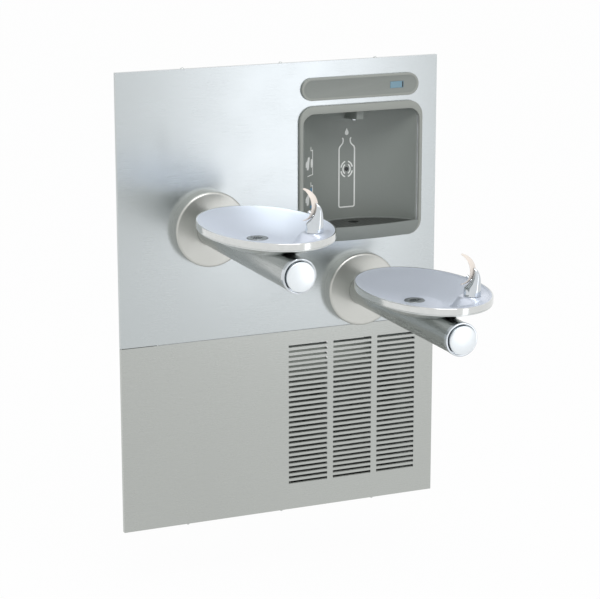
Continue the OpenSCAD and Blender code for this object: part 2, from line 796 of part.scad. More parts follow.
// Rings of an oval dish. A profile point is [share of the half axes, inset from them, height].
oval_sides = 64;
function oval_ring(p) = [for (j = [0:oval_sides - 1]) let (a = 360 * j / oval_sides)
  [basin_dx + (basin_a * p[0] - p[1]) * cos(a), basin_y + (basin_b * p[0] - p[1]) * sin(a), p[2]]];
flat_share = 0.28;
edge_share = 0.985;
bowl_power = 1.3;
function bowl_z(s) = rim_rise - bowl_depth
  + (bowl_depth - rim_edge_r / 2) * pow(max(0, (s - flat_share) / (edge_share - flat_share)), bowl_power);
pan_power = 2.4;
pan_flat = 0.1;
pan_share = 0.9;
pan_top_z = rim_rise - rim_band;
pan_lip_z = pan_top_z - pan_groove;
pan_rise = pan_lip_z - pan_lip - pan_floor;
function pan_z(s) = pan_floor + pan_rise * pow(max(0, (s - pan_flat) / (pan_share - pan_flat)), pan_power);
bowl_shares = [0.01, 0.28, 0.38, 0.48, 0.58, 0.68, 0.78, 0.87, 0.94];
pan_shares = [0.01, 0.2, 0.35, 0.48, 0.6, 0.7, 0.78, 0.85, 0.9];
rim_inset = 4;

module bowl_solid() {
  n = len(bowl_shares) - 1;
  skin(concat(
    [for (i = [0:n]) oval_ring([bowl_shares[i], 0, bowl_z(bowl_shares[i]) - basin_t])],
    [oval_ring([1, rim_inset + basin_t, rim_rise - rim_edge_r - basin_t]),
     oval_ring([1, basin_t, rim_rise - 2 * rim_edge_r]),
     oval_ring([1, basin_t, pan_top_z]),
     oval_ring([1, 0, pan_top_z])],
    [for (p = arc(rim_edge_r, rim_rise - rim_edge_r, rim_edge_r, 180, 90, 4)) oval_ring([1, p[0], p[1]])],
    [oval_ring([1, rim_inset, rim_rise - rim_edge_r / 4])],
    [for (i = [n:-1:0]) oval_ring([bowl_shares[i], 0, bowl_z(bowl_shares[i])])]));
}
module pan_solid() {
  n = len(pan_shares) - 1;
  skin(concat(
    [for (i = [0:n]) oval_ring([pan_shares[i], 0, pan_z(pan_shares[i])])],
    [oval_ring([1, basin_t, pan_lip_z - pan_lip]),
     oval_ring([1, basin_t, pan_lip_z]), oval_ring([1, 2 * basin_t, pan_lip_z]),
     oval_ring([1, 2 * basin_t, pan_top_z]), oval_ring([1, 2 * basin_t + rim_inset, pan_top_z])],
    [for (i = [n:-1:0]) oval_ring([pan_shares[i], 0, pan_z(pan_shares[i]) + basin_t])]));
}
bubbler_x = basin_dx + bubbler_dx;
bubbler_y = basin_y - bubbler_dy;
deck_z = rim_rise - deck_drop;
deck_skirt = 12;
shank_r = 7;
shank_len = 20;
module basin() {
  color(satin) difference() {
    union() {
      bowl_solid();
      // deck of the bubbler
      translate([bubbler_x, bubbler_y, deck_z - deck_skirt])
        cylinder(r1 = deck_r + deck_skirt / 2, r2 = deck_r, h = deck_skirt, $fn = round_fn);
    }
    translate([bubbler_x, bubbler_y, deck_z - deck_skirt - cut])
      cylinder(r1 = deck_r + deck_skirt / 2 - basin_t, r2 = deck_r - basin_t,
               h = deck_skirt + cut - basin_t, $fn = round_fn);
    rod_z(bubbler_x, bubbler_y, shank_r + fit, 0, rim_rise);
    rod_z(0, drain_y, strainer_tail_r + fit, 0, rim_rise);
  }
}
feed_y = bubbler_y;
feed_z = 12;
// Middle of the space between the bowl and the under-pan, a given distance right of the basin's middle
function oval_share(x, y) = norm([x / basin_a, y / basin_b]);
function space_z(s) = (pan_z(s) + bowl_z(s)) / 2;
function feed_point(x) = [basin_dx + x, feed_y, space_z(oval_share(x, bubbler_dy))];
module underpan() {
  color(steel) difference() {
    pan_solid();
    rod_z(0, drain_y, strainer_tail_r + fit, 0, rim_rise);
    rod_z(0, feed_y, tube_r + fit, 0, rim_rise);
  }
}

// Strainer: a slotted disc with a tail down into the arm
strainer_h = 1.6;
strainer_slots = 5;
strainer_slot_w = 3;
strainer_slot_len = 24;
tail_low_z = arm_in_r / 3;
module strainer() {
  color(steel) difference() {
    union() {
      translate([0, drain_y, 0]) rotate_extrude($fn = round_fn) polygon([
        [0, rim_rise - bowl_depth], [strainer_r, rim_rise - bowl_depth],
        [strainer_r - strainer_h, rim_rise - bowl_depth + strainer_h],
        [strainer_tail_r + strainer_h, rim_rise - bowl_depth + strainer_h],
        [strainer_tail_r, rim_rise - bowl_depth + strainer_h / 2],
        [0, rim_rise - bowl_depth + strainer_h / 2]]);
      rod_z(0, drain_y, strainer_tail_r, tail_low_z, rim_rise - bowl_depth, round_fn);
    }
    rod_z(0, drain_y, strainer_tail_r - basin_t, tail_low_z - cut, rim_rise - bowl_depth - basin_t, round_fn);
    for (i = [0:strainer_slots - 1]) let (x = (i - (strainer_slots - 1) / 2) * strainer_slot_w * 1.8)
      translate([x, drain_y, rim_rise - bowl_depth])
        cube([strainer_slot_w, 2 * sqrt(pow(strainer_slot_len / 2, 2) - x * x), 4 * basin_t], center = true);
  }
}

// Arm: a tube with a flange, cut to a saddle where the under-pan sits
saddle_shares = [0.1, 0.3, 0.45, 0.55, 0.65, 0.72, 0.78];
module arm() {
  n = len(saddle_shares) - 1;
  color(steel) difference() {
    union() {
      rod_y(0, 0, arm_r, tube_end_y, back_y, round_fn);
      rod_y(0, 0, arm_flange_r, flange_front_y, back_y, round_fn);
    }
    rod_y(0, 0, arm_in_r, tube_end_y - cut, back_y + cut, round_fn);
    arm_bolt_places() rod_y(0, 0, arm_bolt_r + fit, flange_front_y - cut, back_y + cut);
    bar(concat(
      [for (i = [n:-1:0]) [basin_y - basin_b * saddle_shares[i], pan_z(saddle_shares[i]) - fit]],
      [for (s = saddle_shares) [basin_y + basin_b * s, pan_z(s) - fit]],
      [[basin_y + basin_b * saddle_shares[n], rim_rise], [basin_y - basin_b * saddle_shares[n], rim_rise]]),
      -arm_r, arm_r);
  }
}
bolt_head_r = 7;
bolt_head_h = 5;
bolt_len = 24;
module arm_bolt() {
  rod_y(0, 0, arm_bolt_r, flange_front_y, flange_front_y + bolt_len);
  rod_y(0, 0, bolt_head_r, flange_front_y - bolt_head_h, flange_front_y, 6);
}
module wall_plate() {
  back = -face_y;
  front = back + plate_depth;
  color(steel) turned(concat(
    [[plate_r, back]], arc(plate_r - plate_edge_r, front - plate_edge_r, plate_edge_r, 0, 90, 8),
    [[arm_r + fit, front], [arm_r + fit, front - plate_t]],
    arc(plate_r - plate_edge_r, front - plate_edge_r, plate_edge_r - plate_t, 90, 0, 8),
    [[plate_r - plate_t, back]]));
}

// Bubbler: a chrome body that sweeps back, over a round foot
ring_sides = 20;
cu = cos(stream_angle);
su = sin(stream_angle);
// A point given by its distance along the stream, its distance across and its height over the deck
function aim(u, v, h) = [bubbler_x + u * cu - v * su, bubbler_y + u * su + v * cu, deck_z + h];

// Mouth guard: a curved strip that opens towards the bowl
guard_rings = 16;
guard_lead = 3;
guard_mid_u = guard_curve_r + guard_lead;
guard_low_angle = -76;
guard_high_angle = 76;
guard_tip_share = 0.25;
function guard_fullness(t) = guard_tip_share + (1 - guard_tip_share) * sin(180 * (0.04 + 0.9 * t));
function guard_ring(t) =
  let (a = 180 - (guard_low_angle + (guard_high_angle - guard_low_angle) * t), full = guard_fullness(t))
  [for (j = [0:ring_sides - 1])
     let (b = 360 * j / ring_sides, r = guard_curve_r + guard_t / 2 * full * (1 + cos(b)))
     aim(guard_mid_u + r * cos(a), guard_w / 2 * full * sin(b), guard_mid_h + r * sin(a))];
module guard_form() {
  skin([for (i = [0:guard_rings]) guard_ring(i / guard_rings)]);
}

// Body: level rings between the curve of its back and the back of the guard
body_rings = 14;
body_low_share = 0.5;
body_top_w_share = 0.1;
guard_back_r = guard_curve_r + guard_t + fit;
function body_front(h) =
  let (rise = abs(h - guard_mid_h))
  rise < guard_back_r ? min(foot_r, guard_mid_u - sqrt(guard_back_r * guard_back_r - rise * rise)) : foot_r;
function body_back(h) =
  let (t = max(0, (h / body_h - body_low_share) / (1 - body_low_share)))
  -foot_r + (body_front(body_h) - foot_r * 0.05 + foot_r) * (1 - sqrt(max(0, 1 - t * t)));
function body_ring(t) =
  let (h = foot_h + t * (body_h - foot_h), front = body_front(h), back = body_back(h),
       rv = foot_r * (0.94 - (0.94 - body_top_w_share) * pow(t, 1.2)))
  [for (j = [0:ring_sides - 1]) let (a = 360 * j / ring_sides)
     aim((front + back) / 2 + (front - back) / 2 * cos(a), rv * sin(a), h)];
function foot_ring(r, h) =
  [for (j = [0:ring_sides - 1]) let (a = 360 * j / ring_sides) aim(r * cos(a), r * sin(a), h)];
module bubbler_form() {
  skin(concat([foot_ring(foot_r, 0), foot_ring(foot_r, foot_h / 3)],
              [for (i = [0:body_rings]) body_ring(i / body_rings)]));
}
jet_angle = 38;
jet_u = 1;
jet_h = 38;
module jet_rod(r, from, length) {
  rod(aim(jet_u + from * cos(jet_angle), 0, jet_h + from * sin(jet_angle)),
      aim(jet_u + (from + length) * cos(jet_angle), 0, jet_h + (from + length) * sin(jet_angle)), r);
}
module bubbler() {
  color(chrome) {
    difference() {
      bubbler_form();
      jet_rod(jet_r + fit, 0, 2 * jet_len);
    }
    rod_z(bubbler_x, bubbler_y, shank_r, deck_z - shank_len, deck_z);
  }
}
module mouth_guard() {
  color(cream) difference() {
    guard_form();
    jet_rod(jet_r + fit, 0, 2 * jet_len);
  }
}
module jet() {
  color(chrome) difference() {
    jet_rod(jet_r, 0, jet_len);
    jet_rod(jet_r / 2, jet_len / 2, jet_len);
  }
}

// Collar, push button, spring and valve
guide_y = tube_end_y + collar_len + arm_wall;
guide_t = 4;
button_back_y = collar_y + collar_len;
button_face_y = collar_y - button_proud;
button_t = 4;
spigot_r = arm_in_r - fit / 3;
bore_r = button_r + button_gap;
collar_edge_r = 2;
module collar() {
  e = collar_edge_r;
  color(chrome) turned(concat(
    [[collar_r - e, -tube_end_y], [spigot_r, -tube_end_y],
     [spigot_r, -guide_y], [stem_r + run_fit, -guide_y], [stem_r + run_fit, -guide_y + guide_t],
     [bore_r, -guide_y + guide_t], [bore_r, -collar_y - e]],
    arc(bore_r + e, -collar_y - e, e, 180, 90, 4), arc(collar_r - e, -collar_y - e, e, 90, 0, 4),
    arc(collar_r - e, -tube_end_y + e, e, 0, -90, 4)));
}
dome_r = (button_r * button_r + button_dome * button_dome) / (2 * button_dome);
button_edge_r = 2;
edge_turn = 60;
clip_lip = 0.8;
clip_r = stem_r + clip_lip;
clip_t = 2;
module button() {
  face = -button_face_y;
  dome_low = face - button_dome;
  color(chrome) turned(concat(
    [[0, -guide_y - clip_t - fit]],
    [[clip_r, -guide_y - clip_t - fit], [clip_r, -guide_y - fit], [stem_r, -guide_y - fit],
     [stem_r, dome_low - button_t], [button_r - button_t / 2, dome_low - button_t],
     [button_r - button_t / 2, -button_back_y], [button_r, -button_back_y],
     [button_r, dome_low - button_edge_r]],
    arc(button_r - button_edge_r, dome_low - button_edge_r, button_edge_r, 0, edge_turn, 3),
    [for (s = [0.9, 0.75, 0.6, 0.45, 0.3, 0.15, 0])
      [button_r * s, face - dome_r + sqrt(dome_r * dome_r - pow(button_r * s, 2))]]));
}
spring_steps = 12;
wire_sides = 6;
spring_front = -button_face_y - button_dome - button_t - fit - wire_r;
spring_back = -guide_y + guide_t + fit + wire_r;
module button_spring() {
  steps = spring_turns * spring_steps;
  color(zinc) rotate([90, 0, 0]) skin([for (i = [0:steps]) let (
      a = 360 * i / spring_steps, z = spring_back + (spring_front - spring_back) * i / steps)
    [for (j = [0:wire_sides - 1]) let (b = 360 * j / wire_sides, r = spring_r + wire_r * cos(b))
      [r * cos(a), r * sin(a), z + wire_r * sin(b)]]]);
}
nipple_r = 7;
nipple_len = 16;
valve_back_y = guide_y + valve_len;
module valve() {
  color(brass) difference() {
    union() {
      rod_y(0, 0, valve_r, guide_y, valve_back_y, round_fn);
      rod_y(0, 0, nipple_r, valve_back_y, valve_back_y + nipple_len);
    }
    rod_y(0, 0, clip_r + fit, guide_y - cut, guide_y + clip_t + button_travel + 2 * cut);
  }
}

module at_left() { translate([left_arm_x, 0, left_arm_z]) children(); }
module at_right() { translate([right_arm_x, 0, right_arm_z]) children(); }
module at_arms() {
  at_left() children();
  at_right() children();
}
module arm_bolts() { color(zinc) at_arms() arm_bolt_places() arm_bolt(); }

// Chiller, on the base shelf
shelf_z = -box_in_h;
condenser_x = louvre_x + (louvre_columns * louvre_w + (louvre_columns - 1) * louvre_gap) / 2;
condenser_y = rail_depth;
fin_t = 2;
end_plate_t = 3;
coil_pipe_r = 5;
coil_rows = 6;
module condenser() {
  x0 = condenser_x - condenser_w / 2;
  x1 = condenser_x + condenser_w / 2;
  pitch = (condenser_w - 2 * end_plate_t) / (condenser_fins + 1);
  color("silver") union() {
    for (x = [x0, x1 - end_plate_t])
      block([x, condenser_y, shelf_z], [x + end_plate_t, condenser_y + condenser_d, shelf_z + condenser_h]);
    for (i = [1:condenser_fins])
      block([x0 + end_plate_t + i * pitch - fin_t / 2, condenser_y, shelf_z + end_plate_t],
            [x0 + end_plate_t + i * pitch + fin_t / 2, condenser_y + condenser_d,
             shelf_z + condenser_h - end_plate_t]);
    for (i = [0:coil_rows - 1])
      rod_x(condenser_y + condenser_d / 2, shelf_z + condenser_h * (i + 0.5) / coil_rows, coil_pipe_r,
            x0 - coil_pipe_r, x1 + coil_pipe_r);
  }
}
shroud_y = condenser_y + condenser_d;
shroud_d = 36;
shroud_t = 2;
fan_z = shelf_z + condenser_h / 2;
fan_gap = 4;
motor_r = 32;
motor_len = 55;
motor_y = shroud_y + shroud_d + 2 * fan_gap;
arm_strip = 16;
module fan_shroud() {
  color(dark) difference() {
    union() {
      difference() {
        block([condenser_x - condenser_w / 2, shroud_y, shelf_z],
              [condenser_x + condenser_w / 2, shroud_y + shroud_d, shelf_z + condenser_h]);
        block([condenser_x - condenser_w / 2 + shroud_t, shroud_y - cut, shelf_z + shroud_t],
              [condenser_x + condenser_w / 2 - shroud_t, shroud_y + shroud_d - shroud_t,
               shelf_z + condenser_h - shroud_t]);
        rod_y(condenser_x, fan_z, fan_r + fan_gap, shroud_y, shroud_y + shroud_d + cut, round_fn);
      }
      // bridge that carries the motor
      block([condenser_x - fan_r - 2 * arm_strip, shroud_y + shroud_d, fan_z - arm_strip],
            [condenser_x + fan_r + 2 * arm_strip, motor_y, fan_z + arm_strip]);
    }
    block([condenser_x - fan_r - arm_strip / 2, shroud_y + shroud_d - cut, fan_z - arm_strip - cut],
          [condenser_x + fan_r + arm_strip / 2, motor_y - bracket_t, fan_z + arm_strip + cut]);
    rod_y(condenser_x, fan_z, fan_shaft_r + fan_gap, shroud_y, motor_y + cut);
  }
}
hub_r = 18;
hub_len = 20;
shaft_y = shroud_y + shroud_d - shroud_t - hub_len;
shaft_len_in = 14;
module fan_motor() {
  color(dark) union() {
    rod_y(condenser_x, fan_z, motor_r, motor_y, motor_y + motor_len, round_fn);
    rod_y(condenser_x, fan_z, fan_shaft_r, shaft_y + hub_len - shaft_len_in, motor_y);
  }
}
blade_w_share = 0.55;
blade_angle = 28;
module fan_blade() {
  color("#55585a") difference() {
    union() {
      rod_y(condenser_x, fan_z, hub_r, shaft_y, shaft_y + hub_len, round_fn);
      for (i = [0:fan_blades - 1])
        translate([condenser_x, shaft_y + hub_len / 2, fan_z]) rotate([0, 360 / fan_blades * i, 0])
          translate([hub_r - fin_t, 0, 0]) rotate([blade_angle, 0, 0])
            translate([0, -fin_t / 2, -fan_r * blade_w_share / 4])
              cube([fan_r - hub_r, fin_t, fan_r * blade_w_share / 2]);
    }
    rod_y(condenser_x, fan_z, fan_shaft_r + run_fit, shaft_y + hub_len - shaft_len_in - fit,
          shaft_y + hub_len + cut);
  }
}
compressor_x = -60;
compressor_y = box_depth / 2;
foot_plate_t = 4;
shell_low_r = 20;
shell_high_r = 40;
weld_w = 3;
module compressor() {
  color("#2b2d2f") translate([compressor_x, compressor_y, shelf_z]) rotate_extrude($fn = round_fn)
    polygon(concat(
      [[0, 0], [compressor_r * 0.8, 0], [compressor_r * 0.8, foot_plate_t],
       [compressor_r - shell_low_r, foot_plate_t]],
      arc(compressor_r - shell_low_r, foot_plate_t + shell_low_r, shell_low_r, -90, 0, 6),
      [[compressor_r, compressor_h * 0.5], [compressor_r + weld_w, compressor_h * 0.5],
       [compressor_r + weld_w, compressor_h * 0.53], [compressor_r, compressor_h * 0.53]],
      arc(compressor_r - shell_high_r, compressor_h - shell_high_r, shell_high_r, 0, 90, 8),
      [[0, compressor_h]]));
}
tank_x = -263;
tank_y = box_depth / 2;
tank_edge_r = 10;
module cooling_tank() {
  e = tank_edge_r;
  color(white_plastic) translate([tank_x, tank_y, shelf_z]) rotate_extrude($fn = round_fn)
    polygon(concat([[0, 0]], arc(tank_r - e, e, e, -90, 0, 4), arc(tank_r - e, tank_h - e, e, 0, 90, 4),
                   [[0, tank_h]]));
}
line_r = 4;
line_z = shelf_z + tank_h + 3 * line_r;
module refrigerant_lines() {
  hot_x = condenser_x - condenser_w / 2 - 4 * line_r;
  hot_y = condenser_y + condenser_d / 2;
  hot_z = line_z + condenser_h / 5;
  coil_z = shelf_z + condenser_h * 0.5 / coil_rows;
  color(copper) {
    // hot line from the compressor to the condenser
    pipe([[compressor_x, compressor_y, shelf_z + compressor_h], [compressor_x, compressor_y, hot_z],
          [hot_x, compressor_y, hot_z], [hot_x, hot_y, hot_z], [hot_x, hot_y, coil_z],
          [condenser_x - condenser_w / 2 - coil_pipe_r, hot_y, coil_z]], line_r);
    // cold line from the tank back to the compressor
    pipe([[tank_x, tank_y, shelf_z + tank_h], [tank_x, tank_y, line_z + line_r],
          [compressor_x - compressor_r / 3, tank_y, line_z + line_r],
          [compressor_x - compressor_r / 3, tank_y, shelf_z + compressor_h]], line_r);
  }
}

// Filter, on the web of the left upright
riser_back = 80;
riser_y = box_depth - riser_back;
filter_stand = 22;
filter_x = box_in_left + filter_r + filter_stand;
filter_top = 330;
head_h = 44;
thread_r = 20;
thread_len = 22;
module filter_head() {
  color(white_plastic) difference() {
    union() {
      rod_z(filter_x, filter_y, filter_r, filter_top, filter_top + head_h, round_fn);
      block([box_in_left, filter_y - filter_r, filter_top + head_h / 4],
            [filter_x - filter_r / 2, filter_y + filter_r, filter_top + head_h * 3 / 4]);
    }
    rod_z(filter_x, filter_y, thread_r + run_fit, filter_top - cut, filter_top + thread_len + fit, round_fn);
  }
}
cartridge_edge_r = 12;
grip_h = 2;
grip_w = 4;
grips = 12;
module filter_cartridge() {
  color("#dfe6ea") translate([filter_x, filter_y, filter_top - filter_len]) {
    rotate_extrude($fn = round_fn) polygon(concat(
      [[0, 0]], arc(filter_r - cartridge_edge_r, cartridge_edge_r, cartridge_edge_r, -90, 0, 6),
      [[filter_r, filter_len - fit], [thread_r, filter_len - fit], [thread_r, filter_len + thread_len],
       [0, filter_len + thread_len]]));
    for (i = [1:grips])
      rotate([0, 0, 360 * i / grips]) translate([filter_r - cut, -grip_w / 2, filter_len * 3 / 4])
        cube([grip_h + cut, grip_w, filter_len / 5]);
  }
}

// Stop valve, on the web of the left upright
stop_stand = 45;
stop_len = 40;
stop_x = box_in_left + stop_stand;
stop_z = -60;
stop_y0 = riser_y;
stop_body_r = 16;
stop_foot_w = 24;
stop_wall = 3;
lever_stem_r = 5;
lever_w = 16;
lever_t = 5;
lever_len = 60;
lever_y = stop_y0 + stop_len / 2;
lever_lift = 8;
filter_gap = 12;
tube_gap = 20;
filter_y = lever_y - lever_len - tube_gap - filter_r - filter_gap;
stop_top_z = stop_z + stop_body_r + lever_lift;
module stop_valve() {
  color(brass) difference() {
    union() {
      rod_y(stop_x, stop_z, stop_body_r, stop_y0, stop_y0 + stop_len, round_fn);
      rod_y(stop_x, stop_z, inlet_r, stop_y0 + stop_len, box_depth, round_fn);
      block([box_in_left, lever_y - stop_foot_w / 2, stop_z - stop_body_r / 2],
            [stop_x, lever_y + stop_foot_w / 2, stop_z + stop_body_r / 2]);
      rod_z(stop_x, lever_y, lever_stem_r + stop_wall, stop_z, stop_top_z);
    }
    rod_y(stop_x, stop_z, inlet_r - stop_wall, stop_y0 + stop_len + inlet_r, box_depth + cut);
    rod_z(stop_x, lever_y, lever_stem_r + run_fit, stop_z + stop_body_r / 2, stop_top_z + cut);
  }
}
module stop_valve_lever() {
  color("#2f6fb0") union() {
    rod_z(stop_x, lever_y, lever_stem_r, stop_z + stop_body_r / 2 + fit, stop_top_z + fit);
    block([stop_x - lever_w / 2, lever_y - lever_len, stop_top_z + fit],
          [stop_x + lever_w / 2, lever_y + lever_w / 2, stop_top_z + fit + lever_t]);
  }
}

// Water tubes, each a run between two fittings
tube_side = 24;
riser_x = tank_x + tank_r + tube_side / 2;
down_x = tank_x + tank_r / 6;
head_top = filter_top + head_h;
branch_rise = 6;
module water_tubes() {
  color(white_plastic) {
    // stop valve to filter
    pipe([[stop_x, stop_y0, stop_z], [stop_x, lever_y - lever_len - tube_gap, stop_z],
          [stop_x, lever_y - lever_len - tube_gap, head_top + tube_gap],
          [filter_x - thread_r / 2, filter_y, head_top + tube_gap],
          [filter_x - thread_r / 2, filter_y, head_top]], tube_r);
    // filter to cooling tank
    pipe([[filter_x + thread_r / 2, filter_y, head_top],
          [filter_x + thread_r / 2, filter_y, head_top + tube_gap],
          [down_x, filter_y, head_top + tube_gap], [down_x, filter_y, shelf_z + tank_h]], tube_r);
    // cooling tank to filler valve, past the branches to the arms
    pipe([[tank_x + tank_r / 3, tank_y + tank_r / 2, shelf_z + tank_h],
          [tank_x + tank_r / 3, tank_y + tank_r / 2, seam_z], [riser_x, riser_y, seam_z],
          [riser_x, riser_y, right_arm_z + branch_rise], [riser_x, riser_y, left_arm_z + branch_rise],
          [riser_x, riser_y, valve_z], [valve_x - valve_body[0] / 2, riser_y, valve_z],
          [valve_x - valve_body[0] / 2, valve_y + valve_body[1] / 2, valve_z]], tube_r);
    // filler valve to nozzle
    pipe([[valve_x - valve_body[0], valve_y, valve_z], [alcove_x, valve_y, valve_z],
          [alcove_x, valve_y, hood_tube_z], [alcove_x, stream_y + outlet_r, hood_tube_z]], tube_r);
    // branches to the arms
    for (arm = [[left_arm_x, left_arm_z], [right_arm_x, right_arm_z]])
      let (low = arm[1] + branch_rise)
        pipe([[riser_x, riser_y, low], [arm[0] + tube_side, riser_y, low],
              [arm[0] + tube_side, valve_back_y + nipple_len + 2 * tube_side, low],
              [arm[0], valve_back_y + nipple_len + tube_side, arm[1]],
              [arm[0], valve_back_y + nipple_len, arm[1]]], tube_r);
    // button valve to bubbler
    at_arms()
      pipe([[0, valve_back_y, feed_z], [0, feed_y, feed_z], feed_point(-basin_dx),
            feed_point(bubbler_dx / 2), [bubbler_x, bubbler_y, deck_z - shank_len - 2 * tube_r],
            [bubbler_x, bubbler_y, deck_z - shank_len]], tube_r);
  }
}

// Waste pipes: from the strainers and the drip tray to a stack, then a trap and the outlet
stack_x = -40;
arm_waste_r = 12;
arm_waste_z = -arm_in_r / 3;
stack_r = 16;
trap_w = 60;
trap_rise = 50;
trap_low_z = seam_z - trap_w;
trap_out_z = trap_low_z + trap_rise;
outlet_hub_len = 30;
stack_gap = 3;
waste_y = box_depth - outlet_hub_len - stack_r - stack_gap;
waste_wall = 2.5;
alcove_waste_z = alcove_rail_bottom - 2 * waste_spigot_r;
module waste_pipes() {
  color("#d9d9d2") difference() {
    union() {
      for (arm = [[left_arm_x, left_arm_z], [right_arm_x, right_arm_z]])
        pipe([[arm[0], drain_y, arm[1] + tail_low_z], [arm[0], drain_y, arm[1] + arm_waste_z],
              [arm[0], waste_y, arm[1] + arm_waste_z], [stack_x, waste_y, arm[1] + arm_waste_z]],
             arm_waste_r);
      pipe([[alcove_x, stream_y, tray_floor - shell_t], [alcove_x, stream_y, alcove_waste_z],
            [alcove_x, waste_y, alcove_waste_z], [stack_x, waste_y, alcove_waste_z]], waste_spigot_r);
      pipe([[stack_x, waste_y, left_arm_z + arm_waste_z + arm_waste_r], [stack_x, waste_y, trap_low_z],
            [stack_x + trap_w, waste_y, trap_low_z], [stack_x + trap_w, waste_y, trap_out_z],
            [stack_x + trap_w, box_depth - outlet_hub_len, trap_out_z]], stack_r);
      rod_y(stack_x + trap_w, trap_out_z, waste_r, box_depth - outlet_hub_len, box_depth, round_fn);
    }
    rod_y(stack_x + trap_w, trap_out_z, waste_r - waste_wall, box_depth - outlet_hub_len / 2,
          box_depth + cut, round_fn);
  }
}

left_upright();
right_upright();
top_rail();
base_shelf();
seam_rail();
alcove_rail();
left_carrier();
right_carrier();
upper_panel();
lower_panel();
panel_screws();
alcove_shell();
alcove_bezel();
drip_tray();
tray_grid();
nozzle_hood();
nozzle_outlet();
sensor_window();
control_fascia();
display_window();
control_board();
filler_valve();
at_left() wall_plate();  // left_wall_plate
at_left() arm();  // left_arm
at_left() underpan();  // left_underpan
at_left() basin();  // left_basin
at_left() strainer();  // left_strainer
at_left() bubbler();  // left_bubbler
at_left() mouth_guard();  // left_mouth_guard
at_left() jet();  // left_jet
at_left() collar();  // left_collar
at_left() button();  // left_button
at_left() button_spring();  // left_button_spring
at_left() valve();  // left_valve
at_right() wall_plate();  // right_wall_plate
at_right() arm();  // right_arm
at_right() underpan();  // right_underpan
at_right() basin();  // right_basin
at_right() strainer();  // right_strainer
at_right() bubbler();  // right_bubbler
at_right() mouth_guard();  // right_mouth_guard
at_right() jet();  // right_jet
at_right() collar();  // right_collar
at_right() button();  // right_button
at_right() button_spring();  // right_button_spring
at_right() valve();  // right_valve
arm_bolts();
water_tubes();
waste_pipes();
compressor();
condenser();
fan_shroud();
fan_motor();
fan_blade();
cooling_tank();
refrigerant_lines();
filter_head();
filter_cartridge();
stop_valve();
stop_valve_lever();
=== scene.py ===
"""Looks of an in-wall drinking fountain with a bottle filling alcove.

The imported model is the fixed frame. Each class here dresses one sub-assembly of it: it gives the
CAD nodes their finishes, and makes the pieces that need rounder or finer forms. All lengths are
in metres, +X right, +Y into the wall, +Z up.
"""

import logging
import math
from dataclasses import dataclass
from enum import Enum
from typing import Iterable, Optional, Sequence

import bpy
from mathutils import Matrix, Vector

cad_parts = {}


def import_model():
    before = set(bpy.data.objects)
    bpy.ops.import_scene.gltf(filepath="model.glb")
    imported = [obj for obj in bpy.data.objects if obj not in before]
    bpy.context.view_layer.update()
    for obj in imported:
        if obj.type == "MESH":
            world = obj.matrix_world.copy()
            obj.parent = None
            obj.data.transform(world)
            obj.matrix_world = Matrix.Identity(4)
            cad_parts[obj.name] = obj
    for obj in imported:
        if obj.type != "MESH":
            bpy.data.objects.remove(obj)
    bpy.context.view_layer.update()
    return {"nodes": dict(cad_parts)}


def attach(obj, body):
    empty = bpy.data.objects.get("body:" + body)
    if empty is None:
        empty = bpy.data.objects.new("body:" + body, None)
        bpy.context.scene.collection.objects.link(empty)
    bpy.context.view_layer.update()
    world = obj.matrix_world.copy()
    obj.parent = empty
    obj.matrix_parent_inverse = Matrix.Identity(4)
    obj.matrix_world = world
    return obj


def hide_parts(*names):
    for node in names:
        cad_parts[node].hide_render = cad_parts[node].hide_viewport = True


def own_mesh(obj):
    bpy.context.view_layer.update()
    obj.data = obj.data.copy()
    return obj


log = logging.getLogger("bottle_filling_station")

MM = 0.001
SIDES = 192
MERGE = 1e-6
FLAT_DEG = 0.6
EDGE_DEG = 35.0
SOFT_DEG = 40.0
CAST_DEG = 50.0
HOLE_SIDES = 64
FACING = -0.9
Point = tuple[float, float, float]
Flat = tuple[float, float]
Outline = Sequence[Flat]


def linear(code: str) -> tuple[float, float, float, float]:
    """Turns an sRGB hex colour into linear light.

    Args:
        code: The colour, such as "#c4c8c8".

    Returns:
        Red, green, blue and alpha, each from 0 to 1.
    """
    parts = [int(code[i:i + 2], 16) / 255 for i in (1, 3, 5)]
    red, green, blue = (p / 12.92 if p <= 0.04045 else ((p + 0.055) / 1.055) ** 2.4 for p in parts)
    return red, green, blue, 1.0


def add_node(tree: bpy.types.NodeTree, kind: str, inputs: Optional[dict] = None,
             **settings) -> bpy.types.Node:
    """Adds a node with its settings, values and links.

    Args:
        tree: The node tree to add to.
        kind: The node's type name.
        inputs: Socket name or number, to a value or to the output socket that feeds it.
        **settings: Properties of the node itself.

    Returns:
        The new node.
    """
    node = tree.nodes.new(kind)
    for name, value in settings.items():
        setattr(node, name, value)
    for name, value in (inputs or {}).items():
        if isinstance(value, bpy.types.NodeSocket):
            tree.links.new(value, node.inputs[name])
        else:
            node.inputs[name].default_value = value
    return node


class Grain(Enum):
    """How a surface was made, which sets the direction of its pattern."""

    BRUSHED_ACROSS = (70.0, 1.5, 0.3)
    BRUSHED_OUT = (1.3, 70.0, 1.3)
    SPUN = (1.0, 1.0, 1.0)
    MOULDED = (1.1, 1.1, 1.1)
    POLISHED = (14.0, 14.0, 14.0)
    ROLLED = (9.0, 9.0, 9.0)
    CAST = (2.4, 2.4, 2.4)


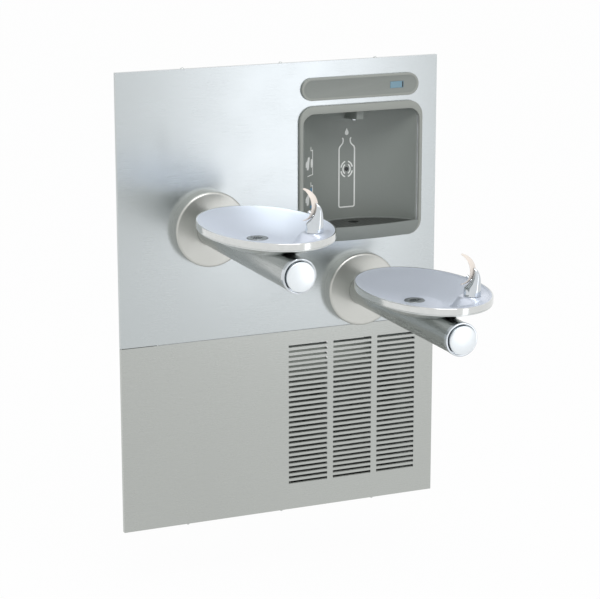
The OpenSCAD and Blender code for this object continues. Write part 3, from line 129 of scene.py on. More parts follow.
@dataclass(frozen=True)
class Finish:
    """A finish: a base colour with a second colour worked in by the surface's own pattern.

    Attributes:
        name: What the surface is, and how it was made.
        colour: Main colour, sRGB hex.
        second: Colour of the pattern's troughs, sRGB hex.
        grain: The pattern, whose value gives its size in millimetres along X, Y and Z.
        metallic: 1 for bare metal.
        rough: Lowest and highest roughness.
        relief_mm: Height of the pattern.
        coat: Strength of a clear coat.
        cloud_mm: Size of the soft patches that wiping and handling leave.
        cloud: How much those patches change the roughness.
        ior: Index of refraction of a non-metal.
        band: Part of the noise's range that the roughness follows.
        detail: Octaves of the pattern, and of the patches.
        pattern_rough: How much the pattern's finer octaves show.
        bump: Strength of the relief.
    """

    name: str
    colour: str
    second: str
    grain: Grain
    metallic: float = 0.0
    rough: Flat = (0.4, 0.5)
    relief_mm: float = 0.02
    coat: float = 0.0
    cloud_mm: float = 140.0
    cloud: float = 0.05
    ior: float = 1.5
    band: Flat = (0.3, 0.7)
    detail: Flat = (3.0, 2.0)
    pattern_rough: float = 0.55
    bump: float = 0.6

    def build(self) -> bpy.types.Material:
        """Makes the material, or finds it if it was made before."""
        made = bpy.data.materials.get(self.name)
        if made is not None:
            return made
        material = bpy.data.materials.new(self.name)
        material.use_nodes = True
        tree = material.node_tree
        tree.nodes.clear()
        place = add_node(tree, "ShaderNodeTexCoord").outputs["Object"]
        scale = tuple(1 / (size * MM) for size in self.grain.value)
        stretched = add_node(tree, "ShaderNodeMapping", {"Vector": place, "Scale": scale})
        pattern = add_node(tree, "ShaderNodeTexNoise",
                           {"Vector": stretched.outputs[0], "Scale": 1.0, "Detail": self.detail[0],
                            "Roughness": self.pattern_rough})
        patches = add_node(tree, "ShaderNodeTexNoise",
                           {"Vector": place, "Scale": 1 / (self.cloud_mm * MM),
                            "Detail": self.detail[1]})
        tint = add_node(tree, "ShaderNodeMix",
                        {0: pattern.outputs[0], 6: linear(self.colour), 7: linear(self.second)},
                        data_type="RGBA")
        low, high = self.band
        worked = add_node(tree, "ShaderNodeMapRange",
                          {0: pattern.outputs[0], 1: low, 2: high,
                           3: self.rough[0], 4: self.rough[1]})
        wiped = add_node(tree, "ShaderNodeMapRange",
                         {0: patches.outputs[0], 1: low, 2: high, 3: -self.cloud, 4: self.cloud})
        rough = add_node(tree, "ShaderNodeMath", {0: worked.outputs[0], 1: wiped.outputs[0]},
                         operation="ADD")
        bump = add_node(tree, "ShaderNodeBump",
                        {"Height": pattern.outputs[0], "Strength": self.bump,
                         "Distance": self.relief_mm * MM})
        inputs = {"Base Color": tint.outputs[2], "Metallic": self.metallic,
                  "Roughness": rough.outputs[0], "Normal": bump.outputs[0],
                  "Coat Weight": self.coat}
        if self.metallic < 0.5:
            inputs["IOR"] = self.ior
        shader = add_node(tree, "ShaderNodeBsdfPrincipled", inputs)
        add_node(tree, "ShaderNodeOutputMaterial", {"Surface": shader.outputs[0]})
        return material


# Stainless sheet with a fine horizontal brush: soft, and its reflections smear up and down.
PANEL_STEEL = Finish("brushed_stainless_sheet", "#c3c8c9", "#b7bdbe", Grain.BRUSHED_ACROSS, 1.0,
                     (0.23, 0.28), 0.0006, cloud=0.02)
# The lower sheet is from the same stock, brushed a little rougher; its darker colour is painted
# shade, a shaded copy of the upper sheet's steel.
SHADED_LOWER_STEEL = Finish("brushed_stainless_sheet_low_painted_shade", "#bcbfbc", "#afb2ae", Grain.BRUSHED_ACROSS, 1.0,
                     (0.25, 0.3), 0.0006, cloud=0.02)
# Bead-blasted bowl: even and milky, with hardly any reflection.
BOWL_STEEL = Finish("blasted_stainless_bowl", "#dfe5f0", "#d4dae6", Grain.MOULDED, 0.6,
                    (0.34, 0.42), 0.008)
# Rim band polished after forming: a sharp mirror.
RIM_STEEL = Finish("polished_stainless_rim", "#dcdedd", "#d0d2d0", Grain.POLISHED, 1.0,
                   (0.1, 0.16), 0.0)
# Satin tube and pan, brushed along their length.
TUBE_STEEL = Finish("satin_stainless_tube", "#c5c9c8", "#9ea2a0", Grain.BRUSHED_OUT, 1.0,
                    (0.2, 0.3), 0.01)
# Pan under the bowl, pressed from bright sheet and only wiped.
PAN_STEEL = Finish("pressed_stainless_pan", "#dadddc", "#c6cac9", Grain.BRUSHED_OUT, 1.0,
                   (0.22, 0.3), 0.006)
# Flange cover, spun on a lathe.
PLATE_STEEL = Finish("spun_stainless_cover", "#c8c9c4", "#b6b7b2", Grain.SPUN, 1.0,
                     (0.26, 0.34), 0.008)
# Bright plated brass: the sharpest reflections on the part.
CHROME = Finish("bright_chrome_plate", "#d3d8dc", "#c6cbcf", Grain.POLISHED, 1.0,
                (0.05, 0.09), 0.0, cloud=0.02)
# Button cap, plated over a fine blast: white and soft.
BUTTON_CHROME = Finish("satin_chrome_cap", "#edf2f5", "#e4eaed", Grain.MOULDED, 1.0,
                       (0.3, 0.38), 0.004)
# Moulded ABS with a fine spark texture, warm grey.
ALCOVE_PLASTIC = Finish("moulded_abs_grey", "#8a8f8a", "#7f847f", Grain.MOULDED, 0.0,
                        (0.42, 0.52), 0.05)
BEZEL_PLASTIC = Finish("moulded_abs_pale", "#9ea19b", "#93968f", Grain.MOULDED, 0.0,
                       (0.38, 0.48), 0.04)
# Tray from the same tool as the shell, rubbed smoother by hands and bottles.
TRAY_PLASTIC = Finish("moulded_abs_tray", "#868b87", "#7a7f7b", Grain.MOULDED, 0.0,
                      (0.34, 0.44), 0.04)
FASCIA_PLASTIC = Finish("moulded_abs_fascia", "#8b8f8a", "#828681", Grain.MOULDED, 0.0,
                        (0.36, 0.44), 0.03)
GRID_PLASTIC = Finish("moulded_grid_dark", "#4a4d4a", "#3b3e3b", Grain.MOULDED, 0.0,
                      (0.45, 0.6), 0.08)
BLACK_PLASTIC = Finish("moulded_nylon_black", "#2e3032", "#26282a", Grain.MOULDED, 0.0,
                       (0.45, 0.55), 0.05)
# Cream guard in a soft gloss elastomer.
GUARD_PLASTIC = Finish("moulded_guard_cream", "#f3e9df", "#ebdfd3", Grain.ROLLED, 0.0,
                       (0.28, 0.36), 0.01, coat=0.3)
# Natural polypropylene of the pipes and the housings.
PALE_PLASTIC = Finish("moulded_polypropylene", "#e4e5e0", "#d8d9d4", Grain.ROLLED, 0.0,
                      (0.4, 0.5), 0.02)
FILTER_PLASTIC = Finish("moulded_filter_bowl", "#dde5ea", "#cfd9df", Grain.ROLLED, 0.0,
                        (0.3, 0.4), 0.02, coat=0.2)
# Clear acrylic over a dull blue liquid crystal.
DISPLAY = Finish("display_blue_acrylic", "#6f93a3", "#658a9b", Grain.POLISHED, 0.0,
                 (0.1, 0.14), 0.0, coat=0.8)
SENSOR = Finish("sensor_black_acrylic", "#1b1d1f", "#141618", Grain.POLISHED, 0.0, (0.3, 0.36), 0.0)
# Screen-printed ink: matt, nearly white, and a clear blue.
WHITE_INK = Finish("printed_ink_white", "#edeeea", "#e4e5e1", Grain.MOULDED, 0.0, (0.45, 0.55), 0.0)
BLUE_INK = Finish("printed_ink_blue", "#5f93b8", "#5688ac", Grain.MOULDED, 0.0, (0.45, 0.55), 0.0)
# Hot-dip galvanised sheet: a soft spangle.
ZINC = Finish("galvanised_sheet", "#b4b8ba", "#9a9fa2", Grain.ROLLED, 0.9, (0.38, 0.56), 0.03)
STRAINER = Finish("pressed_strainer_steel", "#8f9496", "#777c7e", Grain.ROLLED, 1.0,
                  (0.25, 0.36), 0.01)
PLATED = Finish("zinc_plated_steel", "#c9cccc", "#b9bcbb", Grain.ROLLED, 1.0, (0.25, 0.36), 0.01)
BRASS = Finish("turned_brass", "#c9a75c", "#b59349", Grain.SPUN, 1.0, (0.2, 0.32), 0.01)
COPPER = Finish("drawn_copper_tube", "#c27d58", "#a5644a", Grain.ROLLED, 1.0, (0.26, 0.4), 0.01)
FINS = Finish("aluminium_fin_stock", "#c5c8ca", "#adb1b4", Grain.ROLLED, 1.0, (0.32, 0.45), 0.01)
BLACK_PAINT = Finish("black_shell_paint", "#26282a", "#1f2123", Grain.CAST, 0.0,
                     (0.3, 0.42), 0.05, coat=0.3)
BLUE_PAINT = Finish("blue_lever_dip", "#2f6fb0", "#28639f", Grain.ROLLED, 0.0,
                    (0.3, 0.4), 0.02, coat=0.3)
BOARD = Finish("solder_mask_green", "#2d6b49", "#255a3d", Grain.ROLLED, 0.0,
               (0.3, 0.4), 0.01, coat=0.4)


class Bench:
    """The hand tools: every mesh starts and ends here."""

    @staticmethod
    def clear() -> None:
        """Leaves nothing selected, and no edit mode open."""
        if bpy.context.object is not None and bpy.context.object.mode != "OBJECT":
            bpy.ops.object.mode_set(mode="OBJECT")
        bpy.ops.object.select_all(action="DESELECT")

    @staticmethod
    def pick(piece: bpy.types.Object) -> None:
        """Makes a piece the only selected one."""
        Bench.clear()
        piece.select_set(True)
        bpy.context.view_layer.objects.active = piece

    @staticmethod
    def settle(piece: bpy.types.Object, name: str, angle: float = EDGE_DEG) -> bpy.types.Object:
        """Puts a piece's place into its mesh, turns its faces outwards and shades it.

        Args:
            piece: The piece.
            name: Its name.
            angle: Edges sharper than this many degrees stay sharp.

        Returns:
            The piece.
        """
        Bench.pick(piece)
        piece.name = piece.data.name = name
        bpy.ops.object.transform_apply(location=True, rotation=True, scale=True)
        bpy.ops.object.mode_set(mode="EDIT")
        bpy.ops.mesh.select_all(action="SELECT")
        bpy.ops.mesh.remove_doubles(threshold=MERGE)
        bpy.ops.mesh.normals_make_consistent(inside=False)
        bpy.ops.object.mode_set(mode="OBJECT")
        bpy.ops.object.shade_smooth_by_angle(angle=math.radians(angle))
        Bench.clear()
        return piece

    @staticmethod
    def modify(piece: bpy.types.Object, kind: str, **settings) -> None:
        """Adds a modifier with its settings, and applies it.

        Args:
            piece: The piece.
            kind: The modifier's type name.
            **settings: Properties of the modifier.
        """
        Bench.pick(piece)
        modifier = piece.modifiers.new(kind.lower(), kind)
        for name, value in settings.items():
            setattr(modifier, name, value)
        bpy.ops.object.modifier_apply(modifier=modifier.name)

    @staticmethod
    def loft(name: str, centre: Point, rings: Sequence[tuple[float, float, float]],
             sides: int = SIDES) -> bpy.types.Object:
        """Draws a closed oval solid up through level rings, by extruding and scaling its top face.

        Args:
            name: The piece's name.
            centre: Middle of the ovals. Ring heights are added to its Z.
            rings: Half width along X, half width along Y and height of each ring, in metres.
            sides: Vertices of one ring.

        Returns:
            The solid, not yet settled.
        """
        Bench.clear()
        bpy.ops.mesh.primitive_circle_add(vertices=sides, radius=1, fill_type="NGON",
                                          location=centre)
        piece = bpy.context.object
        bpy.ops.object.mode_set(mode="EDIT")
        bpy.ops.mesh.select_all(action="SELECT")
        half_x, half_y, height = rings[0]
        bpy.ops.transform.resize(value=(half_x, half_y, 1), center_override=centre)
        bpy.ops.transform.translate(value=(0, 0, height))
        for next_x, next_y, next_height in rings[1:]:
            bpy.ops.mesh.extrude_region_move(
                TRANSFORM_OT_translate={"value": (0, 0, next_height - height)})
            bpy.ops.transform.resize(value=(next_x / half_x, next_y / half_y, 1),
                                     center_override=centre)
            half_x, half_y, height = next_x, next_y, next_height
        bpy.ops.object.mode_set(mode="OBJECT")
        piece.name = name
        return piece

    @staticmethod
    def turned(name: str, axis_at: Point, profile: Outline) -> bpy.types.Object:
        """Turns a closed profile round an axis along Y, as on a lathe.

        Args:
            name: The piece's name.
            axis_at: A point on the axis.
            profile: Corners as radius and Y.

        Returns:
            The turned solid.
        """
        Bench.clear()
        bpy.ops.mesh.primitive_circle_add(vertices=len(profile), radius=0.01, location=axis_at)
        piece = bpy.context.object
        for vertex, (radius, y) in zip(piece.data.vertices, profile):
            vertex.co = (radius, y - axis_at[1], 0)
        bpy.ops.object.mode_set(mode="EDIT")
        bpy.ops.mesh.select_all(action="SELECT")
        bpy.ops.mesh.spin(steps=SIDES, angle=2 * math.pi, center=axis_at, axis=(0, 1, 0))
        bpy.ops.mesh.select_all(action="SELECT")
        bpy.ops.mesh.remove_doubles(threshold=MERGE)
        bpy.ops.object.mode_set(mode="OBJECT")
        return Bench.settle(piece, name)

    @staticmethod
    def refine(node: str, name: str, bevel_mm: float = 0.0, angle: float = EDGE_DEG,
               levels: int = 0) -> bpy.types.Object:
        """Makes a finer piece from a CAD node: joined faces, broken edges and smooth shading.

        Args:
            node: The CAD node.
            name: The new piece's name.
            bevel_mm: Width of the broken edges, none at 0.
            angle: Edges sharper than this many degrees are broken, or stay sharp.
            levels: Subdivision levels.

        Returns:
            The piece, which replaces the node.
        """
        source = NODES[node]
        piece = bpy.data.objects.new(name, source.data.copy())
        bpy.context.scene.collection.objects.link(piece)
        Bench.pick(piece)
        bpy.ops.object.mode_set(mode="EDIT")
        bpy.ops.mesh.select_all(action="SELECT")
        bpy.ops.mesh.remove_doubles(threshold=MERGE)
        bpy.ops.mesh.customdata_custom_splitnormals_clear()
        if bevel_mm:
            bpy.ops.mesh.dissolve_limited(angle_limit=math.radians(FLAT_DEG))
        bpy.ops.object.mode_set(mode="OBJECT")
        if bevel_mm:
            Bench.modify(piece, "BEVEL", width=bevel_mm * MM, segments=2, limit_method="ANGLE",
                         angle_limit=math.radians(angle), harden_normals=False)
        if levels:
            Bench.modify(piece, "SUBSURF", levels=levels, render_levels=levels)
        Bench.settle(piece, name, angle)
        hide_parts(node)
        return piece


def dress(piece: bpy.types.Object, finish: Finish) -> None:
    """Gives a piece or a CAD node one finish all over."""
    piece.data.materials.clear()
    piece.data.materials.append(finish.build())


def dress_nodes(finish: Finish, names: Iterable[str]) -> None:
    """Gives several CAD nodes the same finish."""
    for name in names:
        dress(NODES[name], finish)


def place(piece: bpy.types.Object, finish: Finish, slot: str, body: str = "root") -> None:
    """Dresses a new piece, lets it ride on a body and reports it.

    Args:
        piece: The piece.
        finish: Its finish.
        slot: Its material slot in the record; not used.
        body: The body that it rides on.
    """
    dress(piece, finish)
    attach(piece, body)
    log.info("%s: %d faces, rides on %s", piece.name, len(piece.data.polygons), body)


NODES: dict[str, bpy.types.Object] = {}


@dataclass(frozen=True)
class Softbox:
    """A softbox: where it hangs, what it faces, its width and height, its watts and its colour."""

    name: str
    place_at: Point
    aim: Point
    size: Flat
    power: float
    colour: str = "#ffffff"

    def hang(self) -> None:
        """Hangs it in the studio."""
        data = bpy.data.lights.new(self.name, "AREA")
        data.shape = "RECTANGLE"
        data.size, data.size_y = self.size
        data.energy = self.power
        data.color = linear(self.colour)[:3]
        lamp = bpy.data.objects.new(self.name, data)
        bpy.context.scene.collection.objects.link(lamp)
        lamp.location = self.place_at
        way = Vector(self.aim) - Vector(self.place_at)
        lamp.rotation_euler = way.to_track_quat("-Z", "Y").to_euler()


@dataclass
class Studio:
    """The floor, the light and the camera.

    The strip softbox stands at the right, where the brushed panels mirror it as a soft glow.
    """

    eye: Point = (-2.2239, -5.2550, 1.4024)
    lens: float = 128.783
    yaw: float = 23.491
    pitch: float = 14.02
    floor_z: float = -0.8
    floor_size: float = 60.0
    floor_glow: float = 0.97
    floor_paint: str = "#f0f0f0"
    sky: str = "#f2f4f6"
    sky_strength: float = 0.74
    softboxes: Sequence[Softbox] = (
        Softbox("strip_softbox", (1.32, -3.0, 0.35), (0.0, 0, 0.3), (0.7, 2.2), 6.5, "#f8f8ff"),
        Softbox("top_softbox", (-0.4, -1.9, 2.9), (0, -0.3, 0.1), (2.0, 1.2), 40))

    @staticmethod
    def seen(tree: bpy.types.NodeTree) -> bpy.types.NodeSocket:
        """Tells a ray of the camera, of a mirror or through glass from other light.

        Args:
            tree: The node tree that asks.

        Returns:
            A socket that gives 1 for such a ray, and 0 for other light.
        """
        path = add_node(tree, "ShaderNodeLightPath")
        seen = path.outputs["Is Camera Ray"]
        for kind in ("Is Glossy Ray", "Is Transmission Ray"):
            either = add_node(tree, "ShaderNodeMath", {0: seen, 1: path.outputs[kind]},
                              operation="MAXIMUM")
            seen = either.outputs[0]
        return seen

    def camera(self) -> None:
        """Stands the camera where the photograph was taken from."""
        data = bpy.data.cameras.new("camera")
        data.lens = self.lens
        data.sensor_width = 36.0
        data.clip_end = 100.0
        camera = bpy.data.objects.new("camera", data)
        bpy.context.scene.collection.objects.link(camera)
        camera.location = self.eye
        camera.rotation_euler = (math.radians(90 - self.pitch), 0, math.radians(-self.yaw))
        bpy.context.scene.camera = camera

    def floor(self) -> None:
        """Lays a pale floor that the camera and the metal see as white."""
        Bench.clear()
        bpy.ops.mesh.primitive_plane_add(size=self.floor_size, location=(0, 0, self.floor_z))
        floor = bpy.context.object
        floor.name = "studio_floor"
        material = bpy.data.materials.new("studio_floor_paint")
        material.use_nodes = True
        tree = material.node_tree
        tree.nodes.clear()
        seen = self.seen(tree)
        share = add_node(tree, "ShaderNodeMath", {0: seen, 1: self.floor_glow},
                         operation="MULTIPLY")
        paint = add_node(tree, "ShaderNodeBsdfDiffuse", {"Color": linear(self.floor_paint)})
        glow = add_node(tree, "ShaderNodeEmission", {"Color": (1, 1, 1, 1), "Strength": 1.0})
        mixed = add_node(tree, "ShaderNodeMixShader",
                         {0: share.outputs[0], 1: paint.outputs[0], 2: glow.outputs[0]})
        add_node(tree, "ShaderNodeOutputMaterial", {"Surface": mixed.outputs[0]})
        floor.data.materials.append(material)

    def world(self) -> None:
        """Surrounds the part with soft grey light, and shows white behind it."""
        world = bpy.data.worlds.new("studio")
        bpy.context.scene.world = world
        world.use_nodes = True
        tree = world.node_tree
        tree.nodes.clear()
        soft = add_node(tree, "ShaderNodeBackground",
                        {"Color": linear(self.sky), "Strength": self.sky_strength})
        white = add_node(tree, "ShaderNodeBackground", {"Color": (1, 1, 1, 1), "Strength": 1.0})
        mixed = add_node(tree, "ShaderNodeMixShader",
                         {0: self.seen(tree), 1: soft.outputs[0], 2: white.outputs[0]})
        add_node(tree, "ShaderNodeOutputWorld", {"Surface": mixed.outputs[0]})

    def build(self) -> None:
        """Sets up the whole studio."""
        self.camera()
        self.floor()
        self.world()
        for softbox in self.softboxes:
            softbox.hang()
        bpy.context.scene.view_settings.view_transform = "Standard"


@dataclass
class WallPanels:
    """The two front sheets and the frame in the wall behind them."""

    frame_nodes: Sequence[str] = ("left_upright", "right_upright", "top_rail", "base_shelf",
                                  "seam_rail", "alcove_rail", "left_carrier", "right_carrier")

    def build(self) -> None:
        """Dresses the sheets, the frame and their screws."""
        dress_nodes(PANEL_STEEL, ["upper_panel"])
        # The lower sheet gets the darker copy of the same steel: painted shade.
        dress_nodes(SHADED_LOWER_STEEL, ["lower_panel"])
        dress_nodes(ZINC, self.frame_nodes)
        dress_nodes(PLATED, ["panel_screws", "arm_bolts"])


@dataclass(frozen=True)
class SideSign:
    """One small sign at the left of the recess: a hand that holds a bottle to be filled.

    Attributes:
        name: Start of its pieces' names.
        low: Its lower edge.
        water: Whether the bottle shows blue water.
        left: Its left edge.
        wide: Its width.
        tall: Its height.
        line: Width of the bottle's line.
    """

    name: str
    low: float
    water: bool
    left: float = 0.0785
    wide: float = 0.037
    tall: float = 0.079
    line: float = 0.0024

    def at(self, shares: Outline) -> list[Flat]:
        """Turns shares of the sign's width and height into places on the recess's back."""
        return [(self.left + a * self.wide, self.low + b * self.tall) for a, b in shares]

    def glass(self) -> list[Flat]:
        """Gives the path of the bottle's foot, right side, shoulder and neck."""
        return self.at([(0.3, 0.012), (0.97, 0.012), (0.97, 0.87), (0.76, 0.87), (0.76, 1.0)])

    def hand(self) -> list[Flat]:
        """Gives the outline of the hand."""
        return self.at([(0.02, 0.36), (0.16, 0.34), (0.22, 0.24), (0.42, 0.22), (0.5, 0.3),
                        (0.56, 0.5), (0.62, 0.62), (0.52, 0.68), (0.38, 0.66), (0.28, 0.56),
                        (0.14, 0.54), (0.02, 0.48)])

    def push(self, corners: int = 20) -> list[Flat]:
        """Gives the small oval beside the bottle."""
        turns = [2 * math.pi * i / corners for i in range(corners)]
        return self.at([(0.83 + 0.1 * math.cos(a), 0.42 + 0.16 * math.sin(a)) for a in turns])

    def level(self) -> list[Flat]:
        """Gives the outline of the water's level."""
        return self.at([(0.7, 0.6), (0.88, 0.6), (0.88, 0.8), (0.7, 0.8)])

    def base(self) -> list[Flat]:
        """Gives the outline of the water at the bottle's foot."""
        return self.at([(0.66, 0.1), (0.88, 0.1), (0.88, 0.18), (0.66, 0.18)])


@dataclass
class Alcove:
    """The bottle filling recess with its bezel, tray, nozzle, sensor and printed signs.

    Attributes:
        middle_x: Middle of the recess.
        back_r: Radius of its curved back.
        back_y: Middle of that curve.
        sensor_z: Height of the sensor.
        bottle_half: Half the width of the bottle sign.
        bottle_low: Foot of the bottle sign.
        bottle_high: Top of its neck.
        neck_share: Half the neck's width, as a share of bottle_half.
        drop_low: Foot of the drop over it.
        drop_high: Tip of the drop.
        outer_arc: Half width and half height of the outer broken ring round the sensor.
        inner_arc: The same of the inner one.
        arc_steps: Straight runs of one arc.
        ink_t: Thickness of the ink.
        line: Width of the ink's lines.
        strip: How often a flat sign is cut, so that it can follow the curved back.
        mitre_limit: Smallest cosine at a bend of a line, which bounds its mitre.
        side_signs: The two small signs.
    """

    middle_x: float = 0.235
    back_r: float = 0.20124
    back_y: float = -0.12224
    sensor_z: float = 0.310
    bottle_half: float = 0.0235
    bottle_low: float = 0.203
    bottle_high: float = 0.400
    neck_share: float = 0.46
    drop_low: float = 0.405
    drop_high: float = 0.425
    outer_arc: Flat = (0.0175, 0.022)
    inner_arc: Flat = (0.0108, 0.0138)
    arc_steps: int = 12
    ink_t: float = 0.0004
    line: float = 0.0038
    strip: float = 0.004
    mitre_limit: float = 0.5
    side_signs: Sequence[SideSign] = (SideSign("place_sign", 0.309, False),
                                      SideSign("fill_sign", 0.211, True))

    def shell(self) -> None:
        """Breaks the edges of the mouldings, and dresses the rest."""
        for node, name, finish, slot, bevel in (
                ("alcove_bezel", "alcove_bezel_moulding", BEZEL_PLASTIC, "pale_plastic", 1.6),
                ("drip_tray", "drip_tray_moulding", TRAY_PLASTIC, "grey_plastic", 1.2),
                ("nozzle_hood", "nozzle_hood_moulding", ALCOVE_PLASTIC, "grey_plastic", 1.0)):
            place(Bench.refine(node, name, bevel), finish, slot)
        dress_nodes(ALCOVE_PLASTIC, ["alcove_shell"])
        dress_nodes(GRID_PLASTIC, ["tray_grid"])
        dress_nodes(CHROME, ["nozzle_outlet"])
        dress_nodes(SENSOR, ["sensor_window"])

    def sign(self, name: str, outline: Outline, finish: Finish) -> None:
        """Prints a flat shape on the curved back of the recess.

        Args:
            name: The piece's name.
            outline: Corners as X and Z, anticlockwise.
            finish: Its ink.
        """
        Bench.clear()
        bpy.ops.mesh.primitive_circle_add(vertices=len(outline), radius=1, fill_type="NGON")
        piece = bpy.context.object
        for vertex, (x, z) in zip(piece.data.vertices, outline):
            vertex.co = (x, 0, z)
        bpy.ops.object.mode_set(mode="EDIT")
        bpy.ops.mesh.select_all(action="SELECT")
        bpy.ops.mesh.quads_convert_to_tris(ngon_method="BEAUTY")
        left, right = min(x for x, _ in outline), max(x for x, _ in outline)
        for step in range(1, int((right - left) / self.strip) + 1):
            bpy.ops.mesh.select_all(action="SELECT")
            bpy.ops.mesh.bisect(plane_co=(left + step * self.strip, 0, 0), plane_no=(1, 0, 0))
        bpy.ops.object.mode_set(mode="OBJECT")
        for vertex in piece.data.vertices:
            aside = vertex.co.x - self.middle_x
            vertex.co.y = self.back_y + math.sqrt(self.back_r ** 2 - aside ** 2) - self.ink_t
        Bench.modify(piece, "SOLIDIFY", thickness=self.ink_t, offset=0)
        Bench.settle(piece, name)
        place(piece, finish, "white_plastic")

    def stroke(self, path: Outline, width: Optional[float] = None) -> list[Flat]:
        """Gives the outline of a line of even width along a path.

        Args:
            path: Points of the line's middle, as X and Z.
            width: The line's width, that of the bottle sign if none is given.

        Returns:
            The corners of the line, round one side and back along the other.
        """
        half = (width or self.line) / 2
        ways = [Vector((b[0] - a[0], b[1] - a[1])).normalized() for a, b in zip(path, path[1:])]
        one_side, other_side = [], []
        for (x, z), before, after in zip(path, ways[:1] + ways, ways + ways[-1:]):
            along = (before + after).normalized()
            reach = half / max(self.mitre_limit, along.dot(before))
            one_side.append((x + along.y * reach, z - along.x * reach))
            other_side.append((x - along.y * reach, z + along.x * reach))
        return one_side + other_side[::-1]

    def arc(self, reach: Flat, middle: float, spread: float) -> list[Flat]:
        """Gives the path of an oval arc round the sensor.

        Args:
            reach: Half width and half height of the oval.
            middle: Angle of the arc's middle, in degrees from the right.
            spread: Angle from its start to its end.

        Returns:
            The path's points.
        """
        angles = [math.radians(middle + spread * (i / self.arc_steps - 0.5))
                  for i in range(self.arc_steps + 1)]
        return [(self.middle_x + reach[0] * math.cos(a), self.sensor_z + reach[1] * math.sin(a))
                for a in angles]

    def bottle(self) -> list[Flat]:
        """Gives the path of the bottle sign, whose top stays open.

        Returns:
            The path's points, from the neck's left side down round the foot to its right side.
        """
        h, low, high, x = self.bottle_half, self.bottle_low, self.bottle_high, self.middle_x
        neck = h * self.neck_share
        right = [(h * 0.82, low), (h * 0.96, low + 0.0018), (h, low + 0.006), (h, high - 0.033),
                 (h * 0.93, high - 0.027), (h * 0.66, high - 0.021), (h * 0.52, high - 0.017),
                 (neck, high - 0.011), (neck, high - 0.005), (neck * 1.25, high - 0.002)]
        left = [(-a, b) for a, b in reversed(right)]
        return [(x + a, b) for a, b in left + right]

    def drop(self) -> list[Flat]:
        """Gives the outline of the drop.

        Returns:
            Its corners, anticlockwise from its tip.
        """
        tall = self.drop_high - self.drop_low
        shares = [(0, 1.0), (-0.12, 0.75), (-0.25, 0.5), (-0.29, 0.28), (-0.2, 0.08),
                  (0, 0.0), (0.2, 0.08), (0.29, 0.28), (0.25, 0.5), (0.12, 0.75)]
        return [(self.middle_x + a * tall, self.drop_low + b * tall) for a, b in shares]

    def signs(self) -> None:
        """Prints the bottle with its drop, the sensor's rings and the two small signs."""
        self.sign("bottle_sign", self.stroke(self.bottle()), WHITE_INK)
        self.sign("drop_sign", self.drop(), WHITE_INK)
        for name, reach, arcs, start, spread in (("outer_arc", self.outer_arc, 4, 45, 62),
                                                 ("inner_arc", self.inner_arc, 2, 0, 130)):
            for turn in range(arcs):
                path = self.arc(reach, start + 360 / arcs * turn, spread)
                self.sign(f"{name}_{turn + 1}", self.stroke(path), WHITE_INK)
        for side in self.side_signs:
            self.sign(side.name + "_glass", self.stroke(side.glass(), side.line), WHITE_INK)
            self.sign(side.name + "_hand", side.hand(), WHITE_INK)
            if side.water:
                self.sign(side.name + "_water", side.level(), BLUE_INK)
                self.sign(side.name + "_base", side.base(), BLUE_INK)
            else:
                self.sign(side.name + "_push", side.push(), WHITE_INK)

    def build(self) -> None:
        """Makes the mouldings and the signs."""
        self.shell()
        self.signs()


@dataclass
class ControlFascia:
    """The long grey pill over the alcove, with its display.

    Attributes:
        face_y: Its sunk face, which is darker than the border.
        reach: How far a face's middle may be from there.
        mask_at: Middle of the dark strip at the display's right end.
        mask_size: Width, thickness and height of that strip.
        mask_edge: Width of its broken edges.
        edge_mm: Width of the pill's broken edges.
    """

    face_y: float = -0.019
    reach: float = 0.0004
    mask_at: Point = (0.3573, -0.01955, 0.553)
    mask_size: Point = (0.0035, 0.0004, 0.0150)
    mask_edge: float = 0.0001
    edge_mm: float = 1.0

    def mask(self) -> None:
        """Prints the dark end of the display."""
        Bench.clear()
        bpy.ops.mesh.primitive_cube_add(size=1, location=self.mask_at)
        piece = bpy.context.object
        piece.scale = self.mask_size
        Bench.modify(piece, "BEVEL", width=self.mask_edge, segments=2)
        Bench.settle(piece, "display_mask")
        place(piece, SENSOR, "sensor_lens")

    def build(self) -> None:
        """Refines the pill, and dresses the display and the board."""
        pill = Bench.refine("control_fascia", "control_fascia_moulding", self.edge_mm)
        place(pill, BEZEL_PLASTIC, "pale_plastic")
        pill.data.materials.append(FASCIA_PLASTIC.build())
        for face in pill.data.polygons:
            if abs(face.center.y - self.face_y) < self.reach and face.normal.y < FACING:
                face.material_index = 1
        dress_nodes(DISPLAY, ["display_window"])
        self.mask()
        dress_nodes(BOARD, ["control_board"])
        dress_nodes(PALE_PLASTIC, ["filler_valve"])


